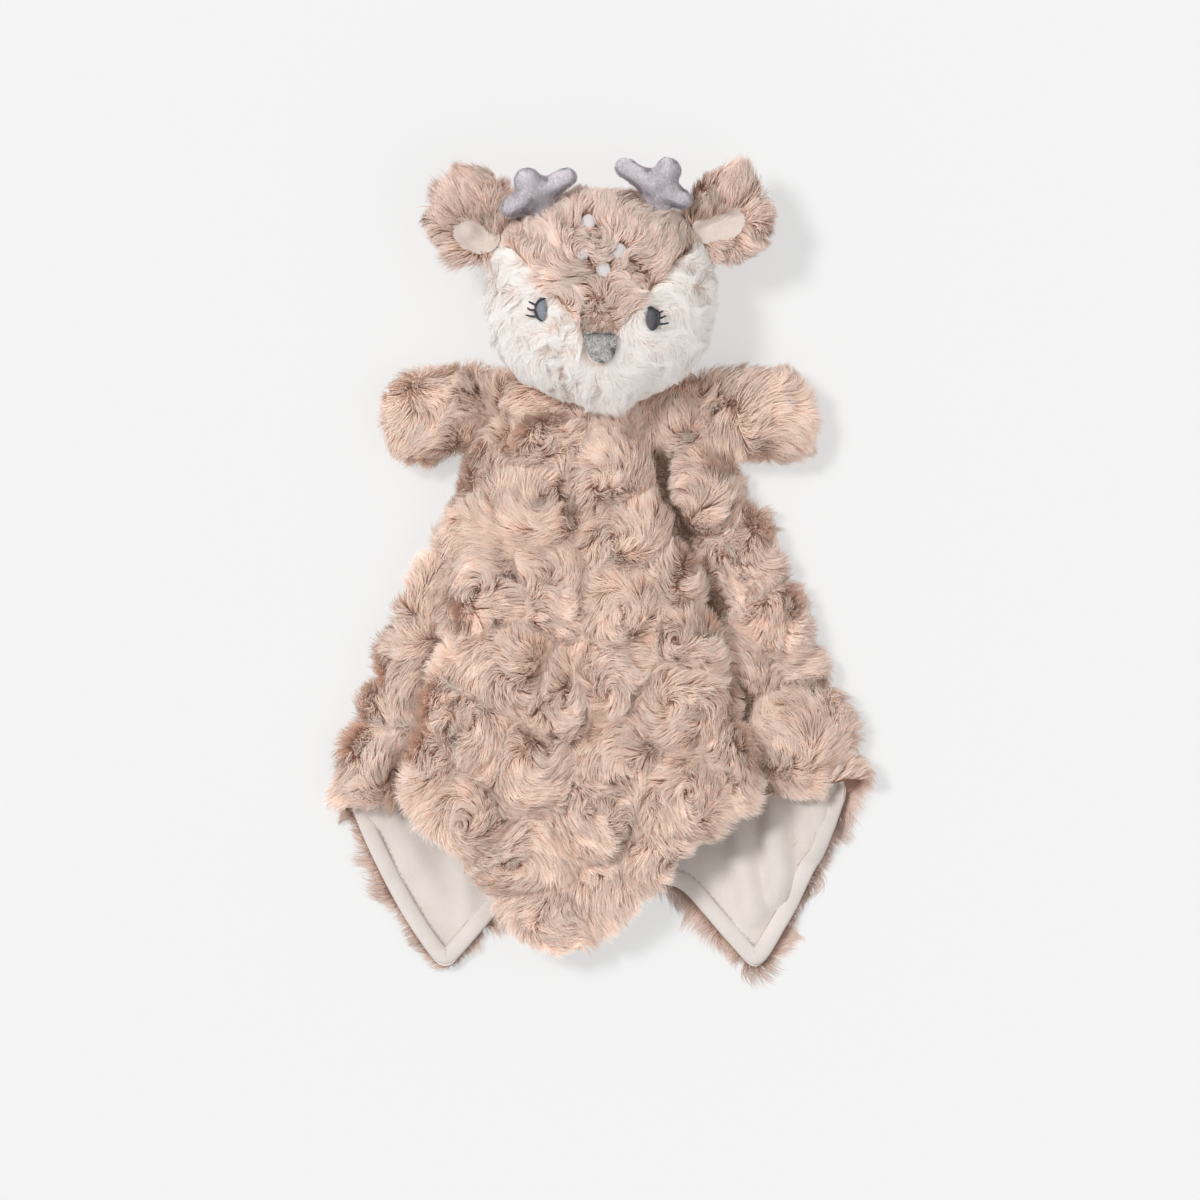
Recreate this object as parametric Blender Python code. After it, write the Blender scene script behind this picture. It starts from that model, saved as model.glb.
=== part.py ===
"""Comfort blanket lovey: a stuffed fawn head, two arms and a small square blanket, lying face up.

Metres, +Z up from the surface it lies on, +Y towards the head, origin under the middle of the toy.
Every soft solid is the outer form of its cloth with the settled part of the pile.
"""

import math

import bmesh
import bpy
import numpy as np
from mathutils import Matrix, Vector

# Seams and cloth
SEAM_GAP = 0.0003
STUFFING_GAP = 0.0008
RIM_HEIGHT = 0.0012
PLUSH_THICKNESS = 0.0045
VELOUR_THICKNESS = 0.0012
FLOOR_CUT = 0.0005

# Blanket: one square drawn up at its centre and laid flat as a skirt with its corners down
BLANKET_TOP_Y = 0.050
BLANKET_TOP_HALF_WIDTH = 0.044
BLANKET_HALF_WIDTH = 0.1226
FRONT_LENGTH = 0.1573
RIGHT_HEM_RISE = 0.0085
SIDE_CORNER_DROP = 0.0752
BACK_DIP_DROP = 0.040
BLANKET_PLUSH = 0.0070
BLANKET_LINING = 0.0015
LAYER_MIDDLE = 0.0095
SIDE_HEIGHT = 0.0200
FLAP_RISE = 0.0140
FLAP_GROOVE = 0.0030
TOP_RISE = 0.0030

# Free front corner
CORNER_LENGTH = 0.0729
CORNER_TIP_X = -0.0115
CORNER_TIP_BASE = 0.0098
CORNER_BULGE = 0.0040

# Neck gather and knot
GATHER_HALF_LENGTH = 0.0430
GATHER_MIDDLE_DEPTH = 0.0225
GATHER_END_DEPTH = 0.0330
GATHER_MIDDLE_HEIGHT = 0.0140
GATHER_FRONT_RISE = 0.0100
KNOT_RADIUS = 0.0070
KNOT_PITCH_DEG = 35.0

# Head
HEAD_WIDTH = 0.1050
HEAD_LENGTH = 0.1000
HEAD_HEIGHT = 0.0700
CHIN_RISE = 0.0172
MUZZLE_RISE = 0.0050
MUZZLE_SPREAD = 0.0240
NOSE_WIDTH = 0.0136
NOSE_HEIGHT = 0.0132
PATCH_THICKNESS = 0.0010
EYE_WIDTH = 0.0060
EYE_HEIGHT = 0.0106
LASH_LENGTH = 0.0042
LASH_WIDTH = 0.0010
LASH_PITCH = 0.0036
LASH_GAP = 0.0005
SPOT_DIAMETER = 0.0066

# Arms
ARM_LENGTH = 0.0540
ARM_WIDTH = 0.0420
ARM_THICKNESS = 0.0300
ARM_SEAM_WIDTH = 0.0310
SEAM_THICKNESS = 0.0050
SEAM_HEIGHT = 0.0070

# Ears
EAR_LENGTH = 0.0340
EAR_WIDTH = 0.0400
EAR_THICKNESS = 0.0120
EAR_SEAM_WIDTH = 0.0170
EAR_SEAM_THICKNESS = 0.0044
EAR_DISH_DEPTH = 0.0046
EAR_ANGLE_DEG = 34.0

# Antlers
ANTLER_REACH = 0.0190
ANTLER_INNER_REACH = 0.0205
ANTLER_OUTER_REACH = 0.0167
ANTLER_STEM = 0.0100
ANTLER_VALLEY = 0.0068
ANTLER_THICKNESS = 0.0100
ANTLER_SEAM_THICKNESS = 0.0040
ANTLER_SPREAD = 0.0210
ANTLER_RISE = 0.0110
ANTLER_LOBE_TURNS_DEG = (0.0, 82.0, -81.0, 180.0)
ANTLER_LOBE_SPREADS_DEG = (30.0, 24.0, 21.0, 34.0)

# Counts of facets
FACE_SEGMENTS = 32
FACE_RINGS = 16
STUFFING_SEGMENTS = 20
STUFFING_RINGS = 10
ARM_ARC_STEPS = 9
ARM_STUFFING_STEPS = 12
GATHER_STEPS = 20
KNOT_SEGMENTS = 18
KNOT_RINGS = 9
NOSE_STEPS = 20
LASH_STEPS = 8
ANTLER_STEPS = 28
EAR_STEPS = 24
PATCH_STEPS = 16
SPOT_STEPS = 12
BLANKET_ROWS = 11
CORNER_STEPS = 10

# Powers that square or round a section, and the angle past which an edge is sharp
BLANKET_EDGE_POWER = 6.0
GATHER_FRONT_POWER = 0.5
NOSE_CROWN_POWER = 0.45
NOSE_POINT_POWER = 0.8
EAR_RIM_POWER = 6.0
EAR_BACK_POWER = 4.0
ANTLER_EDGE_POWER = 3.0
SHARP_EDGE_DEG = 50.0

# Shares: columns across the blanket, silhouette widths down it, and the flap's edges
COLUMN_SHARES = (0.0, 0.1, 0.2, 0.3, 0.4, 0.5, 0.6, 0.7, 0.8, 0.88, 0.945, 0.985, 1.0)
SILHOUETTE_LENGTH_SHARES = (0.0, 0.057, 0.16, 0.313, 0.54, 0.77, 1.0, 1.5)
SILHOUETTE_WIDTH_SHARES = (0.0, 0.26, 0.40, 0.535, 0.70, 0.905, 1.0, 1.0)
SIDE_CORNER_SHARE = 0.6
FLAT_FOOT_SHARE = 1.04
FLAP_LENGTH_SHARES = (0.0, 0.5, 1.0)
FLAP_LEFT_SHARES = (-0.86, -0.74, -0.70)
FLAP_RIGHT_SHARES = (0.40, 0.47, 0.54)
FLAP_SOFT_EDGE_SHARE = 0.22
FLAP_STEEP_EDGE_SHARE = 0.10
FLAP_LOW_TOP_SHARE = 0.25
FLAP_GROWTH_SHARE = 0.6
BACK_DIP_SHARE = 0.30
CORNER_MIDDLE_SHARE = 0.33

# Shares: seams and embroidery on the head, from its centre to its edge
FOREHEAD_SEAM_SHARES = (
    (0.142, -0.27),
    (0.20, -0.20),
    (0.40, 0.08),
    (0.62, 0.32),
    (0.84, 0.54),
    (1.30, 0.80),
)
NOSE_PLACE_SHARE = -0.41
LEFT_EYE_SHARES = (-0.515, -0.065)
RIGHT_EYE_SHARES = (0.44, -0.150)
SPOT_PLACE_SHARES = (
    (-0.107, 0.690),
    (0.168, 0.420),
    (0.022, 0.235),
    (-0.172, 0.395),
    (0.250, 0.690),
)
NOSE_TAPER_SHARE = 0.35
EYE_FLAT_SHARE = 0.3
LASH_FAN_DEG = 16.0

# Shares: how the arm and the gather swell along their length
ARM_LENGTH_SHARES = (0.0, 0.04, 0.12, 0.28, 0.50, 0.70, 0.85, 0.95, 1.0)
ARM_WIDTH_SHARES = (0.97, 1.0, 0.35, 0.75, 1.0, 0.97, 0.80, 0.52, 0.20)
ARM_SWELL_SHARES = (0.25, 1.0, 0.22, 0.66, 0.97, 1.0, 0.82, 0.50, 0.16)
GATHER_LENGTH_SHARES = (-1.0, -0.75, -0.45, 0.0, 0.45, 0.75, 1.0)
GATHER_SWELL_SHARES = (0.0, 0.35, 0.8, 1.0, 0.8, 0.35, 0.0)

# Shares: rings drawn in from an outline to its centre
RING_SHARES = (1.0, 0.93, 0.76, 0.45)
PATCH_RING_SHARES = (1.0, 0.5)
EAR_DISH_RING_SHARES = (1.0, 0.86, 0.66, 0.58, 0.30)
EAR_INNER_SHARE = 0.60
EAR_TIP_SPREAD_SHARE = 0.12
EAR_SEAM_SHARES = (0.35, 0.95)
EAR_DISH_EDGE_SHARES = (0.52, 0.74)
ANTLER_EDGE_SHARE = 0.25
ANTLER_WALL_SHARE = 0.9
ANTLER_STUFFING_SHARE = 0.8
ANTLER_STUFFING_RING_SHARES = (1.0, 0.6)

COLOURS = {
    "tan_plush": (0.552, 0.381, 0.314, 1.0),
    "cream_plush": (0.807, 0.737, 0.694, 1.0),
    "lining_velour": (0.753, 0.694, 0.658, 1.0),
    "antler_velour": (0.480, 0.430, 0.480, 1.0),
    "nose_velour": (0.330, 0.340, 0.325, 1.0),
    "eye_thread": (0.085, 0.095, 0.120, 1.0),
    "spot_thread": (0.775, 0.730, 0.740, 1.0),
    "stuffing": (0.850, 0.850, 0.840, 1.0),
}
ROUGHNESS = {
    "tan_plush": 0.95,
    "cream_plush": 0.95,
    "lining_velour": 0.85,
    "antler_velour": 0.85,
    "nose_velour": 0.80,
    "eye_thread": 0.50,
    "spot_thread": 0.40,
    "stuffing": 1.0,
}

# Places that follow from the sizes above
HEM_Y = BLANKET_TOP_Y - FRONT_LENGTH
HEAD_CENTRE_Y = BLANKET_TOP_Y + CHIN_RISE + HEAD_LENGTH / 2
HEAD_CENTRE_Z = HEAD_HEIGHT / 2 - FLOOR_CUT
LINING_DEPTH = BLANKET_PLUSH + SEAM_GAP
CLOTH_DEPTH = LINING_DEPTH + BLANKET_LINING
ARM_MIDDLE_Y = BLANKET_TOP_Y + SEAM_GAP + GATHER_END_DEPTH / 2
SHOULDER_X = GATHER_HALF_LENGTH + SEAM_GAP + SEAM_THICKNESS / 2


def clear_scene():
    """Remove the startup objects."""
    for old in list(bpy.data.objects):
        bpy.data.objects.remove(old, do_unlink=True)


def make_collection(name):
    """A new collection under the scene's own."""
    made = bpy.data.collections.new(name)
    bpy.context.scene.collection.children.link(made)
    return made


def cloth_material(name):
    """One matt cloth or thread material for one piece."""
    made = bpy.data.materials.new(name)
    made.use_nodes = True
    shader = made.node_tree.nodes["Principled BSDF"]
    shader.inputs["Base Color"].default_value = COLOURS[name]
    shader.inputs["Roughness"].default_value = ROUGHNESS[name]
    shader.inputs["Metallic"].default_value = 0.0
    return made


def add_object(name, points, faces, material, collection, parent=None):
    """A mesh object from points in world places, with outward faces."""
    mesh = bpy.data.meshes.new(name)
    mesh.from_pydata([tuple(p) for p in points], [], faces)
    turned = bmesh.new()
    turned.from_mesh(mesh)
    bmesh.ops.recalc_face_normals(turned, faces=turned.faces)
    turned.to_mesh(mesh)
    turned.free()
    mesh.shade_smooth()
    mesh.set_sharp_from_angle(angle=math.radians(SHARP_EDGE_DEG))
    made = bpy.data.objects.new(name, mesh)
    if material:
        mesh.materials.append(cloth_material(material))
    collection.objects.link(made)
    if parent:
        made.parent = parent
        made.matrix_parent_inverse = Matrix.Translation(-joint_place(parent))
    return made


def joint_place(empty):
    """World place of a pivot, through its parents."""
    place = Vector((0, 0, 0))
    while empty:
        place = place + empty.location
        empty = empty.parent
    return place


def add_pivot(name, place, collection, parent=None):
    """An empty on a joint's axis, which carries what moves there."""
    made = bpy.data.objects.new(name, None)
    made.empty_display_size = KNOT_RADIUS
    collection.objects.link(made)
    made.parent = parent
    made.location = Vector(place) - (joint_place(parent) if parent else Vector((0, 0, 0)))
    return made


def add_cutter(name, points, faces, cutters):
    """A closed helper solid that only cuts."""
    made = add_object(name, points, faces, None, cutters)
    made.hide_render = True
    made.display_type = "WIRE"
    return made


def boolean(target, cutter, operation):
    """Cut or join with the exact solver."""
    modifier = target.modifiers.new(cutter.name, "BOOLEAN")
    modifier.operation = operation
    modifier.object = cutter


def bridge(first, second, count, closed=True):
    """Quads between two rows of points."""
    steps = count if closed else count - 1
    return [
        (first + i, first + (i + 1) % count, second + (i + 1) % count, second + i)
        for i in range(steps)
    ]


def prism(outline, low, high):
    """Points and faces of an upright prism on an anticlockwise outline."""
    count = len(outline)
    points = [(x, y, low) for x, y in outline] + [(x, y, high) for x, y in outline]
    faces = [tuple(range(count - 1, -1, -1)), tuple(range(count, 2 * count))]
    return points, faces + bridge(0, count, count)


def curve_value(places, values, at):
    """A smooth value between given ones, level at the first and the last."""
    places, values = np.asarray(places, float), np.asarray(values, float)
    slopes = np.gradient(values, places)
    at = float(np.clip(at, places[0], places[-1]))
    i = int(np.clip(np.searchsorted(places, at) - 1, 0, len(places) - 2))
    span = places[i + 1] - places[i]
    t = (at - places[i]) / span
    return (
        (2 * t**3 - 3 * t**2 + 1) * values[i]
        + (t**3 - 2 * t**2 + t) * span * slopes[i]
        + (3 * t**2 - 2 * t**3) * values[i + 1]
        + (t**3 - t**2) * span * slopes[i + 1]
    )


def soft_step(low, high, at):
    """0 below low, 1 above high, smooth between."""
    t = min(max((at - low) / (high - low), 0.0), 1.0)
    return t * t * (3 - 2 * t)


def ring_solid(name, outline, centre, shares, top, bottom, frame, material, collection, parent=None):
    """A closed form between two height fields over rings drawn in from an outline to its centre."""
    count = len(outline)
    points = []
    for height in (top, bottom):
        for share in shares:
            for x, y in outline:
                u, v = centre[0] + share * (x - centre[0]), centre[1] + share * (y - centre[1])
                points.append(frame @ Vector((u, v, height(u, v, share))))
        points.append(frame @ Vector((centre[0], centre[1], height(centre[0], centre[1], 0.0))))
    rings, half = len(shares), len(points) // 2
    faces = []
    for i in range(rings - 1):
        faces += bridge(i * count, (i + 1) * count, count)
        faces += bridge(half + i * count, half + (i + 1) * count, count)
    last = (rings - 1) * count
    faces += [(last + i, last + (i + 1) % count, half - 1) for i in range(count)]
    faces += [(half + last + (i + 1) % count, half + last + i, 2 * half - 1) for i in range(count)]
    faces += bridge(half, 0, count)
    return add_object(name, points, faces, material, collection, parent)


def loft(name, rows, material, collection, parent=None):
    """A closed form through rows of points, each row a closed section, with flat ends."""
    count = len(rows[0])
    points = [p for row in rows for p in row]
    faces = [tuple(range(count - 1, -1, -1))]
    for i in range(len(rows) - 1):
        faces += bridge(i * count, (i + 1) * count, count)
    faces.append(tuple(range(len(points) - count, len(points))))
    return add_object(name, points, faces, material, collection, parent)


def tube_shell(name, outer_rows, inner_rows, material, collection):
    """A wall between two sets of closed sections, open at both ends."""
    count, rows = len(outer_rows[0]), len(outer_rows)
    points = [p for row in outer_rows + inner_rows for p in row]
    inner = rows * count
    faces = []
    for i in range(rows - 1):
        faces += bridge(i * count, (i + 1) * count, count)
        faces += bridge(inner + i * count, inner + (i + 1) * count, count)
    faces += bridge(inner, 0, count)
    faces += bridge((rows - 1) * count, inner + (rows - 1) * count, count)
    return add_object(name, points, faces, material, collection)


def blanket_half_width(y):
    """Half the blanket's width at a place down its length."""
    down = (BLANKET_TOP_Y - y) / FRONT_LENGTH
    widening = curve_value(SILHOUETTE_LENGTH_SHARES, SILHOUETTE_WIDTH_SHARES, down)
    return BLANKET_TOP_HALF_WIDTH + widening * (BLANKET_HALF_WIDTH - BLANKET_TOP_HALF_WIDTH)


def front_height(x, y):
    """Height of the upper cloth's outer side: low side layers and the raised front flap with its folds."""
    down = min(max((BLANKET_TOP_Y - y) / FRONT_LENGTH, 0.0), 1.0)
    across = x / blanket_half_width(y)
    left = curve_value(FLAP_LENGTH_SHARES, FLAP_LEFT_SHARES, down)
    right = curve_value(FLAP_LENGTH_SHARES, FLAP_RIGHT_SHARES, down)
    flap = soft_step(left, left + FLAP_SOFT_EDGE_SHARE, across)
    flap *= 1.0 - soft_step(right - FLAP_STEEP_EDGE_SHARE, right, across)
    grown = FLAP_LOW_TOP_SHARE + (1.0 - FLAP_LOW_TOP_SHARE) * soft_step(0.0, FLAP_GROWTH_SHARE, down)
    middle = (left + right) / 2
    groove = FLAP_GROOVE * math.exp(-(((across - middle) / FLAP_STEEP_EDGE_SHARE) ** 2)) * down
    return SIDE_HEIGHT + TOP_RISE * (1.0 - down) + flap * (FLAP_RISE * grown - groove)


def front_hem(share):
    """How far down the upper cloth reaches at a place across it."""
    return HEM_Y + RIGHT_HEM_RISE * soft_step(FLAP_RIGHT_SHARES[-1], 1.0, share)


def back_hem(share):
    """How far down the under cloth reaches: two corners with a dip between them."""
    side = abs(share)
    edge = front_hem(share)
    if side >= SIDE_CORNER_SHARE:
        towards = (1.0 - side) / (1.0 - SIDE_CORNER_SHARE)
        return edge - towards * (edge - HEM_Y + SIDE_CORNER_DROP)
    towards = min((SIDE_CORNER_SHARE - side) / BACK_DIP_SHARE, 1.0)
    drop = SIDE_CORNER_DROP + towards * (BACK_DIP_DROP - SIDE_CORNER_DROP)
    return HEM_Y - drop


def blanket_section(row_share, depth):
    """One closed section round the flattened blanket, at a depth inside its outer side."""
    columns = sorted({-s for s in COLUMN_SHARES} | set(COLUMN_SHARES))
    section = []
    for upper in (True, False):
        for share in reversed(columns) if upper else columns:
            if not upper and abs(share) == 1.0:
                continue
            hem = front_hem(share) if upper else back_hem(share)
            y = BLANKET_TOP_Y + row_share * (hem - BLANKET_TOP_Y)
            x = share * (blanket_half_width(y) - depth)
            ends = FLAT_FOOT_SHARE * math.sqrt(max(1.0 - abs(share) ** BLANKET_EDGE_POWER, 0.0))
            ends = min(ends, 1.0)
            if upper:
                z = LAYER_MIDDLE + (front_height(x, y) - LAYER_MIDDLE - depth) * ends
            else:
                z = LAYER_MIDDLE - (LAYER_MIDDLE - depth) * ends
            section.append(Vector((x, y, z)))
    return section


def build_blanket(pieces):
    """The drawn-up square of plush and the velour lining inside it."""
    shares = [i / (BLANKET_ROWS - 1) for i in range(BLANKET_ROWS)]
    layers = {
        "blanket_plush": (0.0, BLANKET_PLUSH, "tan_plush"),
        "blanket_lining": (LINING_DEPTH, CLOTH_DEPTH, "lining_velour"),
    }
    for name, (outer, inner, material) in layers.items():
        outer_rows = [blanket_section(share, outer) for share in shares]
        inner_rows = [blanket_section(share, inner) for share in shares]
        tube_shell(name, outer_rows, inner_rows, material, pieces)


def corner_outline():
    """The free front corner's outline, from its fold line to its tip."""
    fold_y = HEM_Y - SEAM_GAP
    half_width = blanket_half_width(fold_y)
    left, right = FLAP_LEFT_SHARES[-1] * half_width, FLAP_RIGHT_SHARES[-1] * half_width
    tip = Vector((CORNER_TIP_X, HEM_Y - CORNER_LENGTH))
    outline = []
    for start, end in ((Vector((left, fold_y)), tip), (tip, Vector((right, fold_y)))):
        side = end - start
        outward = Vector((side.y, -side.x)).normalized()
        for i in range(CORNER_STEPS):
            along = i / CORNER_STEPS
            outline.append(start + along * side + math.sin(math.pi * along) * CORNER_BULGE * outward)
    for i in range(CORNER_STEPS):
        outline.append(Vector((right + i / CORNER_STEPS * (left - right), fold_y)))
    return [tuple(p) for p in outline]


def corner_height(x, y, depth):
    """Height in the free corner's cloth, falling from the flap's height to the tip lying on the cloth below."""
    fallen = min(max((HEM_Y - y) / CORNER_LENGTH, 0.0), 1.0)
    lying = CORNER_TIP_BASE + CLOTH_DEPTH
    arched = max(front_height(x, HEM_Y), lying)
    return arched + (lying - arched) * soft_step(0.0, 1.0, fallen) - depth


def build_front_corner(pieces, pivot):
    """Plush and lining of the blanket's free front corner."""
    outline = corner_outline()
    centre = (CORNER_TIP_X, HEM_Y - CORNER_LENGTH * CORNER_MIDDLE_SHARE)
    layers = {
        "front_corner_plush": (0.0, BLANKET_PLUSH, "tan_plush"),
        "front_corner_lining": (LINING_DEPTH, CLOTH_DEPTH, "lining_velour"),
    }
    for name, (outer, inner, material) in layers.items():
        ring_solid(
            name,
            outline,
            centre,
            RING_SHARES,
            lambda x, y, share, depth=outer: corner_height(x, y, depth),
            lambda x, y, share, depth=inner: corner_height(x, y, depth),
            Matrix.Identity(4),
            material,
            pieces,
            pivot,
        )


def add_ball(name, radius, segments, rings, collection):
    """A ball about the origin."""
    bpy.ops.mesh.primitive_uv_sphere_add(segments=segments, ring_count=rings, radius=radius)
    made = bpy.context.object
    made.name = name
    made.data.name = name
    made.data.shade_smooth()
    for old in list(made.users_collection):
        old.objects.unlink(made)
    collection.objects.link(made)
    return made


def head_point(direction, offset):
    """A point of the head's form in a unit direction, moved outward by an offset."""
    x = direction.x * (HEAD_WIDTH / 2 + offset)
    y = direction.y * (HEAD_LENGTH / 2 + offset)
    z = direction.z * (HEAD_HEIGHT / 2 + offset)
    from_nose = x**2 + (y - NOSE_PLACE_SHARE * HEAD_LENGTH / 2) ** 2
    z += MUZZLE_RISE * math.exp(-from_nose / MUZZLE_SPREAD**2) * max(direction.z, 0.0)
    return Vector((x, y + HEAD_CENTRE_Y, z + HEAD_CENTRE_Z))


def head_form(name, offset, segments, rings, material, collection, parent=None):
    """The head's closed form at an offset, from a sphere."""
    made = add_ball(name, 1.0, segments, rings, collection)
    for vertex in made.data.vertices:
        vertex.co = head_point(vertex.co.normalized(), offset)
    if material:
        made.data.materials.append(cloth_material(material))
    else:
        made.hide_render = True
        made.display_type = "WIRE"
    if parent:
        made.parent = parent
        made.matrix_parent_inverse = Matrix.Translation(-joint_place(parent))
    return made


def head_places(shares):
    """Plan places from shares of the head's half width and half length."""
    return [(x * HEAD_WIDTH / 2, HEAD_CENTRE_Y + y * HEAD_LENGTH / 2) for x, y in shares]


def moved_sideways(line, distance):
    """A line of plan places moved to its left by a distance."""
    moved = []
    for i, place in enumerate(line):
        before, after = Vector(line[max(i - 1, 0)]), Vector(line[min(i + 1, len(line) - 1)])
        along = (after - before).normalized()
        moved.append((place[0] - along.y * distance, place[1] + along.x * distance))
    return moved


def build_head_panels(pieces, cutters, pivot):
    """Four plush panels cut from one shell, and the stuffing inside them."""
    reach = HEAD_WIDTH
    half_gap = SEAM_GAP / 2
    right_seam = head_places(FOREHEAD_SEAM_SHARES)
    seam_end_y = right_seam[0][1]
    forehead = moved_sideways(right_seam, half_gap) + [(0.0, HEAD_CENTRE_Y + reach)]
    forehead += [(-x, y) for x, y in reversed(moved_sideways(right_seam, half_gap))]
    right_edge = moved_sideways(right_seam, -half_gap)
    right_cheek = [(half_gap, HEAD_CENTRE_Y - reach), (reach, HEAD_CENTRE_Y - reach)]
    right_cheek += list(reversed(right_edge)) + [(half_gap, seam_end_y - half_gap)]
    left_cheek = [(-x, y) for x, y in reversed(right_cheek)]
    square = [(-reach, -reach), (reach, -reach), (reach, reach), (-reach, reach)]
    whole = [(x, y + HEAD_CENTRE_Y) for x, y in square]
    hollow = head_form("head_hollow", -PLUSH_THICKNESS, FACE_SEGMENTS, FACE_RINGS, None, cutters)
    above, below = HEAD_CENTRE_Z + half_gap, HEAD_CENTRE_Z - half_gap
    panels = {
        "forehead_panel": (forehead, above, reach, "tan_plush"),
        "left_cheek_panel": (left_cheek, above, reach, "cream_plush"),
        "right_cheek_panel": (right_cheek, above, reach, "cream_plush"),
        "head_back_panel": (whole, 0.0, below, "tan_plush"),
    }
    for name, (outline, low, high, material) in panels.items():
        panel = head_form(name, 0.0, FACE_SEGMENTS, FACE_RINGS, material, pieces, pivot)
        region = add_cutter(name + "_region", *prism(outline, low, high), cutters)
        boolean(panel, hollow, "DIFFERENCE")
        boolean(panel, region, "INTERSECT")
    inside = -PLUSH_THICKNESS - STUFFING_GAP
    head_form("head_stuffing", inside, STUFFING_SEGMENTS, STUFFING_RINGS, "stuffing", pieces, pivot)


def face_surface(x, y, offset):
    """Height of the face at a plan place, at an offset from its outer side."""
    u, v = x / (HEAD_WIDTH / 2 + offset), (y - HEAD_CENTRE_Y) / (HEAD_LENGTH / 2 + offset)
    up = math.sqrt(max(1.0 - u * u - v * v, 0.0))
    return head_point(Vector((u, v, up)), offset).z


def build_patch(name, outline, shares, material, pieces, pivot):
    """A thin patch that lies on the face."""
    centre = tuple(np.mean(np.asarray(outline), axis=0))
    outer = SEAM_GAP + PATCH_THICKNESS
    ring_solid(
        name,
        outline,
        centre,
        shares,
        lambda x, y, share: face_surface(x, y, outer),
        lambda x, y, share: face_surface(x, y, SEAM_GAP),
        Matrix.Identity(4),
        material,
        pieces,
        pivot,
    )


def shield_outline(centre, width, height):
    """A nose: a shallow crown above and a rounded point below."""
    outline = []
    for i in range(NOSE_STEPS):
        turn = 2 * math.pi * i / NOSE_STEPS
        across, up = math.cos(turn), math.sin(turn)
        power = NOSE_CROWN_POWER if up > 0 else NOSE_POINT_POWER
        narrowing = 1.0 - NOSE_TAPER_SHARE * min(up, 0.0) ** 2
        x = width / 2 * math.copysign(abs(across) ** power, across) * narrowing
        y = height / 2 * (up**power if up > 0 else up)
        outline.append((centre[0] + x, centre[1] + y))
    return outline


def oval_outline(centre, width, height, steps, flat_side=0.0):
    """An oval, drawn in on one side where flat_side is not zero."""
    outline = []
    for i in range(steps):
        turn = 2 * math.pi * i / steps
        x, y = math.cos(turn) * width / 2, math.sin(turn) * height / 2
        if x * flat_side > 0:
            x *= 1.0 - abs(flat_side)
        outline.append((centre[0] + x, centre[1] + y))
    return outline


def build_face(pieces, pivot):
    """Nose, eyes, lashes and forehead spots."""
    nose = head_places([(0.0, NOSE_PLACE_SHARE)])[0]
    outline = shield_outline(nose, NOSE_WIDTH, NOSE_HEIGHT)
    build_patch("nose", outline, PATCH_RING_SHARES, "nose_velour", pieces, pivot)
    for side, shares, outward in (("left", LEFT_EYE_SHARES, -1), ("right", RIGHT_EYE_SHARES, 1)):
        eye = head_places([shares])[0]
        outline = oval_outline(eye, EYE_WIDTH, EYE_HEIGHT, PATCH_STEPS, EYE_FLAT_SHARE * outward)
        build_patch(f"{side}_eye", outline, PATCH_RING_SHARES, "eye_thread", pieces, pivot)
        for i in range(3):
            build_lash(f"{side}_lash_{i + 1}", eye, outward, i - 1, pieces, pivot)
    for i, place in enumerate(head_places(SPOT_PLACE_SHARES)):
        outline = oval_outline(place, SPOT_DIAMETER, SPOT_DIAMETER, SPOT_STEPS)
        build_patch(f"forehead_spot_{i + 1}", outline, (1.0,), "spot_thread", pieces, pivot)


def build_lash(name, eye, outward, step, pieces, pivot):
    """One stitched lash beside an eye, fanned about its middle one."""
    turn = math.radians(-LASH_FAN_DEG * step)
    along = Vector((outward * math.cos(turn), math.sin(turn)))
    rise = Vector((-along.y, along.x)) * outward
    y = -step * LASH_PITCH
    edge = EYE_WIDTH / 2 * math.sqrt(1.0 - (2 * y / EYE_HEIGHT) ** 2)
    root = Vector(eye) + Vector((outward * (edge + LASH_GAP), y))
    middle = root + along * LASH_LENGTH / 2
    outline = []
    for i in range(LASH_STEPS):
        part = 2 * math.pi * (i + 0.5) / LASH_STEPS
        reach, half = math.cos(part) * LASH_LENGTH / 2, math.sin(part) * LASH_WIDTH / 2
        outline.append(tuple(middle + along * reach * outward + rise * half * outward))
    build_patch(name, outline, (1.0,), "eye_thread", pieces, pivot)


def build_knot(pieces, pivot):
    """The gathered, tied end of the head's stuffing opening."""
    knot = add_ball("neck_knot", KNOT_RADIUS, KNOT_SEGMENTS, KNOT_RINGS, pieces)
    knot.data.materials.append(cloth_material("tan_plush"))
    knot.parent = pivot


def knot_place():
    """The knot's centre, clear of the head's under side by one seam gap."""
    pitch = math.radians(KNOT_PITCH_DEG)
    half_length, half_height = HEAD_LENGTH / 2, HEAD_HEIGHT / 2
    touch = Vector((0, -half_length * math.cos(pitch), -half_height * math.sin(pitch)))
    outward = Vector((0, touch.y / half_length**2, touch.z / half_height**2)).normalized()
    centre = Vector((0, HEAD_CENTRE_Y, HEAD_CENTRE_Z))
    return centre + touch + outward * (KNOT_RADIUS + SEAM_GAP)


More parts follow.
